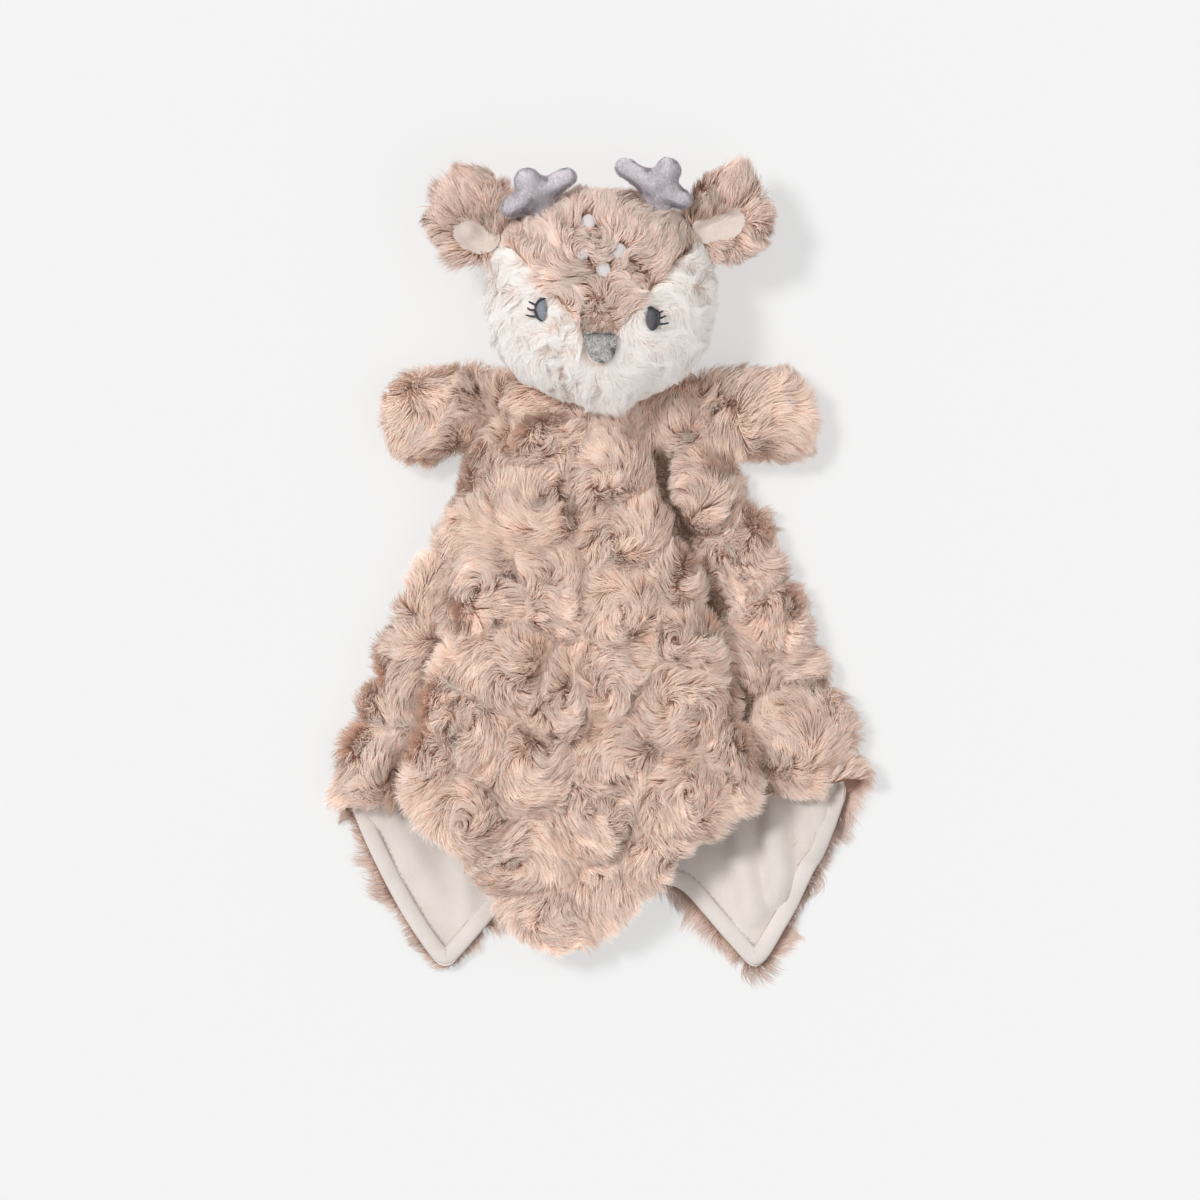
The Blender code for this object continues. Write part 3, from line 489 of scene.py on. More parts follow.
class Coat:
    """A pile grown on a skin, as ribbons.

    A strand's tone runs from 0 to 1. Painted shade lowers it: by STANDING_PAINTED_SHADE where the pile stands, by
    SHORT_PAINTED_SHADE where it is short and by DEEP_PAINTED_SHADE where it keeps less than the share DEEP; TUFT_TONE
    is how much the tufts differ.
    """

    QUICK_SHARE = 0.25
    QUICK_WIDTH = 1.9
    TONE_SPREAD = 0.13
    STANDING_PAINTED_SHADE = 0.17
    SHORT_PAINTED_SHADE = 0.20
    DEEP_PAINTED_SHADE = 0.9
    DEEP = 0.45
    TUFT_TONE = 0.11
    ROLL = 0.55
    SHADE = (0.45, 0.65, 0.35)

    def __init__(self, pile: Pile, finish: "PileFinish", flow: Flow, seed: int, bends: bool = False) -> None:
        """Settle what grows.

        Args:
            pile: Sizes and habits of the strands.
            finish: The material they wear.
            flow: Which way they lie.
            seed: Start of the random draw.
            bends: Whether its normals are set as custom split normals, which turn with its faces, rather than kept as
                an attribute.
        """
        self.pile = pile
        self.finish = finish
        self.flow = flow
        self.seed = seed
        self.bends = bends

    def grow(
        self,
        name: str,
        skin: Skin,
        keep: Mask | None = None,
        length_share: Mask | None = None,
        covered: Callable[[Array], Array] | None = None,
    ) -> list[bpy.types.Object]:
        """Grow the coat.

        Args:
            name: Start of the pieces' names.
            skin: The cloth it is rooted on.
            keep: Which roots are kept, from their places and normals.
            length_share: Each strand's share of the pile's length; shorter strands also get painted shade in their
                tone.
            covered: Which places the pile has to leave clear.

        Returns:
            The pieces, none of more than MOST_STRANDS strands. The pieces, each small enough to be kept whole.
        """
        rng = np.random.default_rng(self.seed)
        density = self.pile.per_square_metre * 1.0
        roots, normals = skin.scatter(density, rng)
        if keep is not None:
            kept = keep(roots, normals)
            roots, normals = roots[kept], normals[kept]
        count = len(roots)
        length = self.pile.length * (1 + self.pile.uneven * rng.normal(size=count)).clip(0.45, 1.5)
        share = np.ones(count) if length_share is None else length_share(roots, normals)
        length = length * share
        turn = np.radians(self.pile.stray_deg) * rng.normal(size=count)
        strands = self.pile.paths(roots, normals, self.flow, length, turn)
        lying = np.linalg.norm(self.flow(roots, normals), axis=1).clip(0, 1)
        # Painted shade: the tone falls where the pile stands, where it is short and where it is cut very short. This
        # stands in for the shade in tufts, at rosette borders and in crevices.
        tone = rng.normal(0.5, self.TONE_SPREAD, count) - self.STANDING_PAINTED_SHADE * (1 - lying)
        tone = tone - self.SHORT_PAINTED_SHADE * (1 - share) - self.DEEP_PAINTED_SHADE * (self.DEEP - share).clip(0)
        tufts = max(int(count / density / self.pile.tuft**2), 2)
        guides = rng.choice(count, min(tufts, count), replace=False)
        index, _ = nearest(roots, roots[guides])
        reach = self.pile.length * rng.normal(1.0, 0.16, len(guides)).clip(0.6, 1.4)
        reach = reach * (length[guides] / length[guides].mean())
        stray = np.radians(self.pile.stray_deg * 1.3) * rng.normal(size=len(guides))
        leaders = self.pile.paths(roots[guides], normals[guides], self.flow, reach, stray)
        tone = tone + rng.normal(0, self.TUFT_TONE, len(guides))[index]
        hold = self.pile.pull * rng.uniform(0.35, 1.15, count).clip(0, 0.95)
        hold = hold * rng.uniform(0.6, 1.1, len(guides))[index]
        for step in range(1, len(strands)):
            near_tip = (step / self.pile.steps) ** 1.35
            strands[step] += (leaders[step][index] - strands[step]) * (hold * near_tip)[:, None]
        if covered is not None:
            strands = roots + (strands - roots) * self._cropped(strands, covered)[None, :, None]
        strands[..., 2] = np.maximum(strands[..., 2], FLOOR_GAP)
        width = self.pile.width * rng.uniform(0.7, 1.3, count) * 1.0
        facing = rng.normal(0, self.ROLL, count)
        tone = tone.clip(0.02, 0.98)
        made = []
        parts = max(math.ceil(count / MOST_STRANDS), 1)
        for number in range(parts):
            label = name if parts == 1 else f"{name}_{number + 1}"
            part = np.arange(number, count, parts)
            made.append(self._ribbons(label, strands[:, part], normals[part], width[part], facing[part], tone[part]))
        LOG.info("%s: %d strands in %d pieces", name, count, parts)
        return made

    def _cropped(self, strands: Array, covered: Callable[[Array], Array]) -> Array:
        """Share of each strand that ends before it covers a clear place."""
        share = np.ones(strands.shape[1])
        for step in range(len(strands) - 1, 0, -1):
            share[covered(strands[step])] = max((step - 0.75) / self.pile.steps, 0.12)
        return share

    def _ribbons(
        self, name: str, strands: Array, normals: Array, width: Array, facing: Array, tone: Array
    ) -> bpy.types.Object:
        """One mesh of tapered ribbons.

        Args:
            name: The piece's name.
            strands: Points of each strand, steps + 1 by N by 3.
            normals: The skin's normal under each.
            width: Each ribbon's width.
            facing: How far each is rolled about itself, in radians.
            tone: Each strand's lightness, from 0 to 1.

        Returns:
            The new object.
        """
        steps, count = len(strands) - 1, strands.shape[1]
        along = unit(np.gradient(strands, axis=0))
        side = unit(np.cross(along, normals[None]))
        rolled = side * np.cos(facing)[None, :, None] + np.cross(along, side) * np.sin(facing)[None, :, None]
        taper = np.array([0.75, *(1.0 - (i / steps) ** 2.2 for i in range(1, steps))])
        half = rolled[:-1] * (taper[:, None] * width[None] / 2)[..., None]
        each = 2 * steps + 1
        points = np.empty((count, each, 3), np.float32)
        points[:, 0 : 2 * steps : 2] = (strands[:-1] - half).transpose(1, 0, 2)
        points[:, 1 : 2 * steps : 2] = (strands[:-1] + half).transpose(1, 0, 2)
        points[:, -1] = strands[-1]
        corners = [2 * j + c for j in range(steps - 1) for c in (0, 1, 3, 2)]
        pattern = np.array([*corners, 2 * steps - 2, 2 * steps - 1, 2 * steps], np.int32)
        strand = np.arange(count, dtype=np.int32)[:, None]
        loops = (pattern[None] + strand * each).ravel()
        loop_starts = (np.arange(0, 4 * steps, 4, dtype=np.int32)[None] + strand * len(pattern)).ravel()
        mesh = bpy.data.meshes.new(name)
        mesh.vertices.add(count * each)
        mesh.vertices.foreach_set("co", points.ravel())
        mesh.loops.add(len(loops))
        mesh.loops.foreach_set("vertex_index", loops)
        mesh.polygons.add(len(loop_starts))
        mesh.polygons.foreach_set("loop_start", loop_starts)
        mesh.update(calc_edges=True)
        reach = np.array([*np.repeat(np.arange(steps) / steps, 2), 1.0])[pattern]
        edge = np.array([*np.tile([-0.012, 0.012], steps), 0.0])[pattern]
        coordinates = np.empty((count, len(pattern), 2), np.float32)
        coordinates[..., 0] = reach[None]
        coordinates[..., 1] = tone[:, None] + edge[None]
        mesh.uv_layers.new(name=BAKE_UV).data.foreach_set("uv", coordinates.ravel())
        mesh.shade_smooth()
        up, flat, own = self.SHADE
        shade = unit(up * normals[None] + flat * np.cross(side, along) + own * np.cross(rolled, along))
        soft = np.empty((count, each, 3), np.float32)
        soft[:, 0 : 2 * steps : 2] = shade[:-1].transpose(1, 0, 2)
        soft[:, 1 : 2 * steps : 2] = soft[:, 0 : 2 * steps : 2]
        soft[:, -1] = shade[-1]
        if self.bends:
            mesh.normals_split_custom_set_from_vertices(soft.reshape(-1, 3))
        else:
            mesh.attributes.new("custom_normal", "FLOAT_VECTOR", "POINT").data.foreach_set("vector", soft.ravel())
        mesh.materials.append(self.finish.material())
        return linked(name, mesh)


# ---- Finishes ----


def set_inputs(node: bpy.types.Node, values: dict[str, float | Colour]) -> None:
    """Set what a node's inputs hold, by their names; colours get an alpha of 1."""
    for label, value in values.items():
        node.inputs[label].default_value = (*value, 1.0) if isinstance(value, tuple) else value


class Nodes:
    """A small writer of shader nodes."""

    def __init__(self, tree: bpy.types.NodeTree) -> None:
        """Write into a tree.

        Args:
            tree: The node tree.
        """
        self.tree = tree

    def add(self, kind: str, **settings: object) -> bpy.types.Node:
        """Add a node and set its properties.

        Args:
            kind: The node's Blender type.
            **settings: Its properties.

        Returns:
            The new node.
        """
        made = self.tree.nodes.new(kind)
        for key, value in settings.items():
            setattr(made, key, value)
        return made

    def link(self, source: bpy.types.NodeSocket, target: bpy.types.NodeSocket) -> None:
        """Join two sockets."""
        self.tree.links.new(source, target)

    def math(self, operation: str, first: object, second: object = 0.0) -> bpy.types.NodeSocket:
        """A sum, product or other step on two values.

        Args:
            operation: The Math node's operation.
            first: A socket or a number.
            second: A socket or a number.

        Returns:
            The result's socket.
        """
        node = self.add("ShaderNodeMath", operation=operation)
        for socket, value in zip(node.inputs, (first, second)):
            if isinstance(value, bpy.types.NodeSocket):
                self.link(value, socket)
            else:
                socket.default_value = value
        return node.outputs[0]

    def mix(
        self, factor: bpy.types.NodeSocket, first: bpy.types.NodeSocket, second: bpy.types.NodeSocket
    ) -> bpy.types.NodeSocket:
        """A mix of two colours, by a factor from 0 to 1."""
        node = self.add("ShaderNodeMix", data_type="RGBA", blend_type="MIX")
        for number, source in ((0, factor), (6, first), (7, second)):
            self.link(source, node.inputs[number])
        return node.outputs[2]

    def smooth(self, value: bpy.types.NodeSocket, low: float, high: float) -> bpy.types.NodeSocket:
        """A smooth rise of a value from 0 at low to 1 at high."""
        node = self.add("ShaderNodeMapRange", interpolation_type="SMOOTHSTEP")
        set_inputs(node, {"From Min": low, "From Max": high})
        self.link(value, node.inputs["Value"])
        return node.outputs[0]

    def scale(self, colour: bpy.types.NodeSocket, by: bpy.types.NodeSocket) -> bpy.types.NodeSocket:
        """A colour made lighter or darker by a factor."""
        node = self.add("ShaderNodeVectorMath", operation="SCALE")
        self.link(colour, node.inputs[0])
        self.link(by, node.inputs["Scale"])
        return node.outputs[0]

    def to_camera(self, lit: bpy.types.NodeSocket, shown: bpy.types.NodeSocket, share: float, end: object) -> None:
        """Show camera rays a share of another shader than the light meets.

        Args:
            lit: The shader that the light meets.
            shown: The plain shader that camera rays see.
            share: How much of it they see.
            end: The input that takes the result.
        """
        camera = self.add("ShaderNodeLightPath").outputs["Is Camera Ray"]
        both = self.add("ShaderNodeMixShader")
        self.link(self.math("MULTIPLY", camera, share), both.inputs[0])
        self.link(lit, both.inputs[1])
        self.link(shown, both.inputs[2])
        self.link(both.outputs[0], end)


def node_group(name: str, inputs: Sequence[tuple[str, str, object]], outputs: Sequence[tuple[str, str]]) -> Nodes:
    """A new shader node group with its sockets.

    Args:
        name: The group's name.
        inputs: Name, socket type and default of each input.
        outputs: Name and socket type of each output.

    Returns:
        A writer for the group, whose tree has the two ends in place.
    """
    tree = bpy.data.node_groups.new(name, "ShaderNodeTree")
    for label, kind, value in inputs:
        socket = tree.interface.new_socket(label, in_out="INPUT", socket_type=kind)
        socket.default_value = (*value, 1.0) if kind == "NodeSocketColor" else value
    for label, kind in outputs:
        tree.interface.new_socket(label, in_out="OUTPUT", socket_type=kind)
    writer = Nodes(tree)
    writer.add("NodeGroupInput", name="in")
    writer.add("NodeGroupOutput", name="out")
    return writer


def pile_tone_group() -> bpy.types.NodeTree:
    """Colour of a strand from its root to its tip, built once.

    Returns:
        The node group.
    """
    found = bpy.data.node_groups.get("pile_tone")
    if found:
        return found
    group = node_group(
        "pile_tone",
        [
            ("Reach", "NodeSocketFloat", 0.5),
            ("Tone", "NodeSocketFloat", 0.5),
            ("Root", "NodeSocketColor", (0.3, 0.2, 0.15)),
            ("Body", "NodeSocketColor", (0.5, 0.4, 0.3)),
            ("Tip", "NodeSocketColor", (0.7, 0.6, 0.5)),
            ("Spread", "NodeSocketFloat", 0.3),
        ],
        [("Color", "NodeSocketColor")],
    )
    ends, out = group.tree.nodes["in"], group.tree.nodes["out"]
    reach = ends.outputs["Reach"]
    lower = group.mix(group.smooth(reach, 0.0, 0.5), ends.outputs["Root"], ends.outputs["Body"])
    whole = group.mix(group.smooth(reach, 0.35, 1.0), lower, ends.outputs["Tip"])
    away = group.math("SUBTRACT", ends.outputs["Tone"], 0.5)
    gain = group.math("ADD", group.math("MULTIPLY", away, group.math("MULTIPLY", ends.outputs["Spread"], 2.0)), 1.0)
    group.link(group.scale(whole, gain), out.inputs["Color"])
    return group.tree


def nap_group() -> bpy.types.NodeTree:
    """Brushed patches and fine fibre grain of a short pile, built once.

    Returns:
        The node group.
    """
    found = bpy.data.node_groups.get("brushed_nap")
    if found:
        return found
    group = node_group(
        "brushed_nap",
        [
            ("Color", "NodeSocketColor", (0.8, 0.75, 0.7)),
            ("Patch Size", "NodeSocketFloat", 60.0),
            ("Grain Size", "NodeSocketFloat", 1600.0),
            ("Patch", "NodeSocketFloat", 0.08),
            ("Grain", "NodeSocketFloat", 0.1),
        ],
        [("Color", "NodeSocketColor"), ("Height", "NodeSocketFloat")],
    )
    ends, out = group.tree.nodes["in"], group.tree.nodes["out"]
    place = group.add("ShaderNodeTexCoord")
    total, height = 1.0, None
    for label, detail in (("Patch", 3.0), ("Grain", 2.0)):
        noise = group.add("ShaderNodeTexNoise")
        set_inputs(noise, {"Detail": detail})
        group.link(place.outputs["Object"], noise.inputs["Vector"])
        group.link(ends.outputs[f"{label} Size"], noise.inputs["Scale"])
        height = noise.outputs["Fac"]
        part = group.math("MULTIPLY", group.math("SUBTRACT", height, 0.5), ends.outputs[label])
        total = group.math("ADD", part, total)
    group.link(group.scale(ends.outputs["Color"], total), out.inputs["Color"])
    group.link(height, out.inputs["Height"])
    return group.tree


def shader_of(name: str) -> tuple[Nodes, bpy.types.Node, bpy.types.Material]:
    """A new material and its Principled shader.

    Args:
        name: The material's name.

    Returns:
        A node writer, the shader and the material.
    """
    made = bpy.data.materials.new(name)
    made.use_nodes = True
    return Nodes(made.node_tree), made.node_tree.nodes["Principled BSDF"], made


@dataclass(frozen=True)
class PileFinish:
    """Long plush pile: deeper at its roots, lighter at its tips; some of it glows in its tip colour, as painted light
    that brightens it.
    """

    name: str
    root: Colour
    body: Colour
    tip: Colour
    spread: float = 0.34
    painted_glow: float = 0.0
    roughness: float = 0.75
    specular: float = 0.2
    sheen: float = 0.06
    sheen_roughness: float = 0.5

    def material(self) -> bpy.types.Material:
        """The material, built once.

        Returns:
            The strand material.
        """
        found = bpy.data.materials.get(self.name)
        if found:
            return found
        writer, shader, made = shader_of(self.name)
        uv = writer.add("ShaderNodeUVMap", uv_map=BAKE_UV)
        parts = writer.add("ShaderNodeSeparateXYZ")
        writer.link(uv.outputs[0], parts.inputs[0])
        tone = writer.add("ShaderNodeGroup", node_tree=pile_tone_group())
        writer.link(parts.outputs["X"], tone.inputs["Reach"])
        writer.link(parts.outputs["Y"], tone.inputs["Tone"])
        set_inputs(tone, {"Root": self.root, "Body": self.body, "Tip": self.tip, "Spread": self.spread})
        writer.link(tone.outputs["Color"], shader.inputs["Base Color"])
        set_inputs(shader, {"Roughness": self.roughness, "Specular IOR Level": self.specular})
        set_inputs(shader, {"Sheen Weight": self.sheen, "Sheen Roughness": self.sheen_roughness})
        # Painted light: the pile glows a little in its tip colour to look brighter.
        set_inputs(shader, {"Emission Color": self.tip, "Emission Strength": self.painted_glow})
        return made


@dataclass(frozen=True)
class NapFinish:
    """Short velour, knitted backing or felt: brushed patches with a fine grain."""

    name: str
    colour: Colour
    patch_size: float = 60.0
    grain_size: float = 1600.0
    patch: float = 0.12
    grain: float = 0.16
    bump: float = 0.25
    bump_height: float = 0.0004
    roughness: float = 0.85
    specular: float = 0.25
    sheen: float = 0.35
    sheen_roughness: float = 0.45

    def material(self) -> bpy.types.Material:
        """The material, built once.

        Returns:
            The cloth material.
        """
        found = bpy.data.materials.get(self.name)
        if found:
            return found
        writer, shader, made = shader_of(self.name)
        nap = writer.add("ShaderNodeGroup", node_tree=nap_group())
        set_inputs(nap, {"Color": self.colour, "Patch": self.patch, "Grain": self.grain})
        set_inputs(nap, {"Patch Size": self.patch_size, "Grain Size": self.grain_size})
        bump = writer.add("ShaderNodeBump")
        set_inputs(bump, {"Strength": self.bump, "Distance": self.bump_height})
        writer.link(nap.outputs["Height"], bump.inputs["Height"])
        writer.link(nap.outputs["Color"], shader.inputs["Base Color"])
        writer.link(bump.outputs["Normal"], shader.inputs["Normal"])
        set_inputs(shader, {"Roughness": self.roughness, "Specular IOR Level": self.specular})
        set_inputs(shader, {"Sheen Weight": self.sheen, "Sheen Roughness": self.sheen_roughness})
        return made


class Cloths:
    """Every finish of the toy."""

    # The tan pile glows a little, as painted light that brightens it.
    TAN = PileFinish("tan_pile", (0.500, 0.275, 0.185), (0.990, 0.730, 0.598), (0.996, 0.862, 0.768), painted_glow=0.035)
    # The pile under the blanket: a darker copy of the tan pile, as painted shade.
    UNDER_PAINTED_SHADE = PileFinish("under_pile_painted_shade", (0.420, 0.250, 0.180), (0.760, 0.550, 0.460), (0.860, 0.700, 0.615))
    BROW = PileFinish("forehead_pile", (0.480, 0.290, 0.210), (0.950, 0.705, 0.595), (0.990, 0.860, 0.780))
    EAR = PileFinish("ear_pile", (0.440, 0.262, 0.190), (0.900, 0.655, 0.545), (0.960, 0.820, 0.735))
    # The cream pile glows, as painted light that brightens the cheeks.
    CREAM = PileFinish(
        "cream_pile", (0.900, 0.765, 0.690), (0.985, 0.935, 0.895), (0.995, 0.965, 0.935), 0.08, painted_glow=0.08, sheen=0.20
    )
    ANTLER = PileFinish("antler_pile", (0.600, 0.545, 0.590), (0.885, 0.828, 0.868), (0.970, 0.925, 0.950), spread=0.22)
    NOSE = PileFinish("nose_pile", (0.360, 0.355, 0.342), (0.545, 0.535, 0.518), (0.780, 0.770, 0.750), spread=0.80)
    TAN_BACKING = NapFinish("tan_backing", (0.520, 0.320, 0.235))
    CREAM_BACKING = NapFinish("cream_backing", (0.880, 0.760, 0.690))
    # Its large light and dark patches are painted sheen of the brushed velour.
    LINING = NapFinish("lining_nap", (0.790, 0.722, 0.676), patch_size=38.0, patch=0.34, grain=0.16, sheen=0.10)
    INNER_EAR = NapFinish("inner_ear_nap", (0.770, 0.672, 0.612), patch_size=260.0, patch=0.22, grain=0.24, sheen=0.1)
    ANTLER_BACKING = NapFinish("antler_nap", (0.700, 0.650, 0.690))
    NOSE_BACKING = NapFinish("nose_nap", (0.400, 0.400, 0.385))
    # Both eyes are one dark satin thread: the left eye wears this lighter copy as a painted highlight, the right eye
    # the darker one below.
    EYE_SATIN_PAINTED_HIGHLIGHT = NapFinish("eye_satin_painted_highlight", (0.330, 0.345, 0.395), 900.0, patch=0.5, roughness=0.5, sheen=0.0)
    DARK_SATIN = NapFinish("dark_satin", (0.150, 0.148, 0.168), 900.0, patch=0.5, roughness=0.5, sheen=0.0)
    LASH_THREAD = NapFinish("lash_satin", (0.055, 0.060, 0.074), 900.0, patch=0.4, roughness=0.5, sheen=0.0)
    SPOT_THREAD = NapFinish("spot_satin", (0.820, 0.790, 0.800), 900.0, patch=0.1, roughness=0.4, sheen=0.1)
    HEM_THREAD = NapFinish("hem_topstitch", (0.740, 0.670, 0.630), 900.0, patch=0.1, roughness=0.6, sheen=0.1)


def dress(obj: bpy.types.Object, finish: PileFinish | NapFinish) -> bpy.types.Object:
    """Give a piece its one material.

    Args:
        obj: The piece.
        finish: Its finish.

    Returns:
        The same piece.
    """
    obj.data.materials.clear()
    obj.data.materials.append(finish.material())
    return obj


def settle(pieces: Iterable[bpy.types.Object], body: str, nodes: Sequence[str] = ()) -> None:
    """Hang pieces on a body and hide the CAD nodes that they replace.

    Args:
        pieces: The pieces.
        body: The CAD body they ride on.
        nodes: The CAD nodes that they replace.
    """
    for piece in pieces:
        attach(piece, body)
        if nodes:
            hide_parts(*nodes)


# ---- The blanket ----


@dataclass
class BlanketForm:
    """How the drawn-up square lies: a folded section at each place down its length."""

    top_y: float = 0.0660
    grown_from_y: float = 0.0500
    chin_y: float = 0.0460
    hem_y: float = -0.1073
    split_y: float = -0.0930
    right_hem_rise: float = 0.0085
    pile_depth: float = 0.0060
    widths_y: tuple[float, ...] = (0.066, 0.052, 0.041, 0.025, 0.0007, -0.035, -0.071, -0.1073)
    widths: tuple[float, ...] = (0.0430, 0.0545, 0.0585, 0.0665, 0.0775, 0.0930, 0.1085, 0.1192)
    left_edge: tuple[float, ...] = (-0.0340, -0.0400, -0.0480, -0.0540, -0.0600, -0.0655, -0.0760, -0.0850)
    right_edge: tuple[float, ...] = (0.0170, 0.0190, 0.0240, 0.0290, 0.0365, 0.0475, 0.0600, 0.0660)
    side_tip: tuple[float, float] = (0.0736, -0.1825)
    dip: tuple[float, float] = (0.0370, -0.1473)
    corner_outline: tuple[tuple[float, float], ...] = (
        (-0.0860, -0.1073),
        (-0.0640, -0.1290),
        (-0.0470, -0.1475),
        (-0.0340, -0.1665),
        (-0.0225, -0.1745),
        (-0.0110, -0.1735),
        (0.0040, -0.1615),
        (0.0210, -0.1445),
        (0.0440, -0.1225),
        (0.0660, -0.1073),
    )
    under_height: float = 0.0032
    side_height: float = 0.0125
    flap_height: float = 0.0325
    fold: float = 0.0600
    tip_height: float = 0.0125
    mound_height: float = 0.0056
    valley: float = 0.0060
    least_gap: float = 0.0020
    wave_height: float = 0.0016
    creases: tuple[tuple[float, ...], ...] = (
        (0.0770, -0.1000, 0.0810, -0.1500, 0.0056, 0.0050),
        (0.0960, -0.1000, 0.0990, -0.1260, 0.0050, 0.0046),
        (0.0600, -0.1150, 0.0690, -0.1580, 0.0042, 0.0052),
        (-0.1000, -0.1100, -0.0760, -0.1450, 0.0020, 0.0065),
        (-0.0640, -0.1180, -0.0600, -0.1560, 0.0022, 0.0055),
    )
    lining_depth: float = 0.0015
    wrinkle: float = 0.0010
    hem_width: float = 0.0074
    hem_height: float = 0.0030
    hem_pitch: float = 0.0016
    stitch_pitch: float = 0.0030
    thread: float = 0.00040
    flap_stations: tuple[int, int] = (8, 14)
    under_from: int = 22
    side_bulge: float = 0.0085
    side_wave: float = 0.0022
    bend_from_to: tuple[float, float] = (-0.098, -0.118)
    square: float = 0.380
    gathered_area: float = 0.0064
    corner_flat: tuple[float, float] = (0.150, 0.085)
    corner_area: float = 0.0075

    def _down(self, table: Sequence[float], y: Array) -> Array:
        """Values of one of the tables at places down the length."""
        return np.interp(y, self.widths_y[::-1], table[::-1])

    def half_width(self, y: Array) -> Array:
        """Half the cloth's width at places down its length, inside its pile."""
        return self._down(self.widths, y) - self.pile_depth * 0.85

    def stations(self, y: Array) -> Array:
        """Places round the folded section.

        Args:
            y: Places down the length, any shape.

        Returns:
            Stations by the shape of y by 2, as across and height.
        """
        y = np.asarray(y, float)
        down = np.clip((self.grown_from_y - y) / (self.grown_from_y - self.hem_y), 0.0, 1.0)
        chin = soft_step(self.chin_y, self.top_y, y)
        w = self.half_width(np.maximum(y, self.hem_y))
        left = self._down(self.left_edge, y) + self.pile_depth * 0.6
        right = self._down(self.right_edge, y) - self.pile_depth * 0.75
        grown = rising(0.62, 0.0, 0.6, down)
        side = self.side_height + 0.002 * (1 - down) - 0.004 * chin
        top = side + (self.flap_height - self.side_height) * grown * (1 - 0.55 * chin)
        fold = self.fold * (0.25 + 0.75 * down)
        dale = self.valley * (1 - 0.5 * chin)
        gap = np.maximum(left - 0.006 + w, self.least_gap)
        left_dale = dale * soft_step(self.least_gap, 0.022, gap)
        middle = (left + right) / 2
        low = np.full_like(y, self.under_height)
        table = [
            (-w, 0.5 * (side + low)),
            (-w + np.minimum(0.006, 0.3 * gap), side - 0.0005),
            (-w + np.maximum(0.55 * gap, gap - 0.011), side + 0.0015),
            (left - 0.006, side - left_dale),
            (left + fold * 0.7, side - 0.0045),
            (left + fold, side - 0.0030),
            (left + fold * 0.7, side - 0.0015),
            (left + 0.007, side + 0.0005),
            (left - 0.001, side + (top - side) * 0.34),
            (left + 0.005, side + (top - side) * 0.86),
            ((left + middle) / 2, top),
            (middle - 0.004, top - 0.0015 - 0.0025 * down),
            ((right + middle) / 2, top),
            (right - 0.006, top + 0.0004),
            (right + 0.001, top - 0.0036),
            (right - 0.006, side + 0.0040),
            (right - fold * 0.7, side - 0.0013),
            (right - fold, side - 0.0030),
            (right - fold * 0.7, side - 0.0050),
            (right + 0.006, side - dale * 1.15),
            (right + 0.0165, side + 0.0010),
            (w - 0.006, side - 0.0005),
            (w, 0.5 * (side + low)),
            (w - 0.006, low + 0.0002),
            (w * 0.62, low),
            (w * 0.2, low),
            (-w * 0.2, low),
            (-w * 0.62, low),
            (-w + 0.006, low + 0.0002),
        ]
        return np.array([np.stack([a + 0 * y, b + 0 * y], -1) for a, b in table])

    def round_section(self, at: Array, y: Array) -> Array:
        """Smooth places on the section between its stations.

        Args:
            at: Station numbers, whole or between two, one a column.
            y: Places down the length, rows by columns.

        Returns:
            Rows by columns by 3.
        """
        points = self.stations(y)
        count = len(points)
        base = np.floor(at).astype(int)
        t = (at - base)[None, :, None]
        columns = np.arange(len(at))
        p0, p1, p2, p3 = (points[(base + i) % count, :, columns].transpose(1, 0, 2) for i in (-1, 0, 1, 2))
        a, b, c = -p0 + 3 * p1 - 3 * p2 + p3, 2 * p0 - 5 * p1 + 4 * p2 - p3, p2 - p0
        place = 0.5 * (a * t**3 + b * t**2 + c * t + 2 * p1)
        return np.stack([place[..., 0], y, place[..., 1]], -1)

    def columns(self, first: float, last: float, pitch: float) -> Array:
        """Station numbers of columns about one pitch apart at the hem."""
        fine = np.linspace(first, last, 1200)
        row = self.round_section(fine, np.full((1, len(fine)), self.hem_y))[0]
        run = run_along(row)
        return np.interp(np.linspace(0, run[-1], int(run[-1] / pitch)), run, fine)

    def hem(self, at: Array, corner: bool) -> Array:
        """How far down each column reaches.

        Args:
            at: The columns' station numbers.
            corner: Whether the flap runs on to the free corner's tip.

        Returns:
            A place down the length for each column.
        """
        row = self.round_section(at, np.full((1, len(at)), self.hem_y))[0]
        x, w = row[:, 0], float(self.half_width(np.array(self.hem_y)))
        first, last = self.flap_stations
        flap = (at >= first) & (at <= last)
        edge = self.hem_y + self.right_hem_rise * soft_step(19.0, 21.5, at)
        under = at >= self.under_from
        share = np.abs(x) / w
        outer = self.side_tip[0] / (w + self.pile_depth)
        inner = self.dip[0] / (w + self.pile_depth)
        start = np.where(x > 0, self.hem_y + self.right_hem_rise, self.hem_y)
        tip, dip = self.side_tip[1] - 0.0030, self.dip[1] + 0.002
        fall = np.where(
            share > outer,
            start + (tip - start) * ((1 - share) / (1 - outer)).clip(0, 1),
            tip + (dip - tip) * ((outer - share) / (outer - inner)).clip(0, 1),
        )
        bulge = self.side_bulge * np.sin(math.pi * ((share - outer) / (1 - outer)).clip(0, 1)) ** 0.8
        fall = fall - bulge + self.side_wave * (share > outer) * (x > 0) * np.sin(3 * math.pi * share)
        padded = np.pad(fall, 2, "wrap")
        fall = sum(padded[i : i + len(fall)] for i in range(5)) / 5
        edge = np.where(under, fall, edge)
        if corner:
            outline = np.array(self.corner_outline)
            return np.where(flap, np.interp(x, outline[:, 0], outline[:, 1]), edge)
        return np.where(flap, self.split_y, edge)

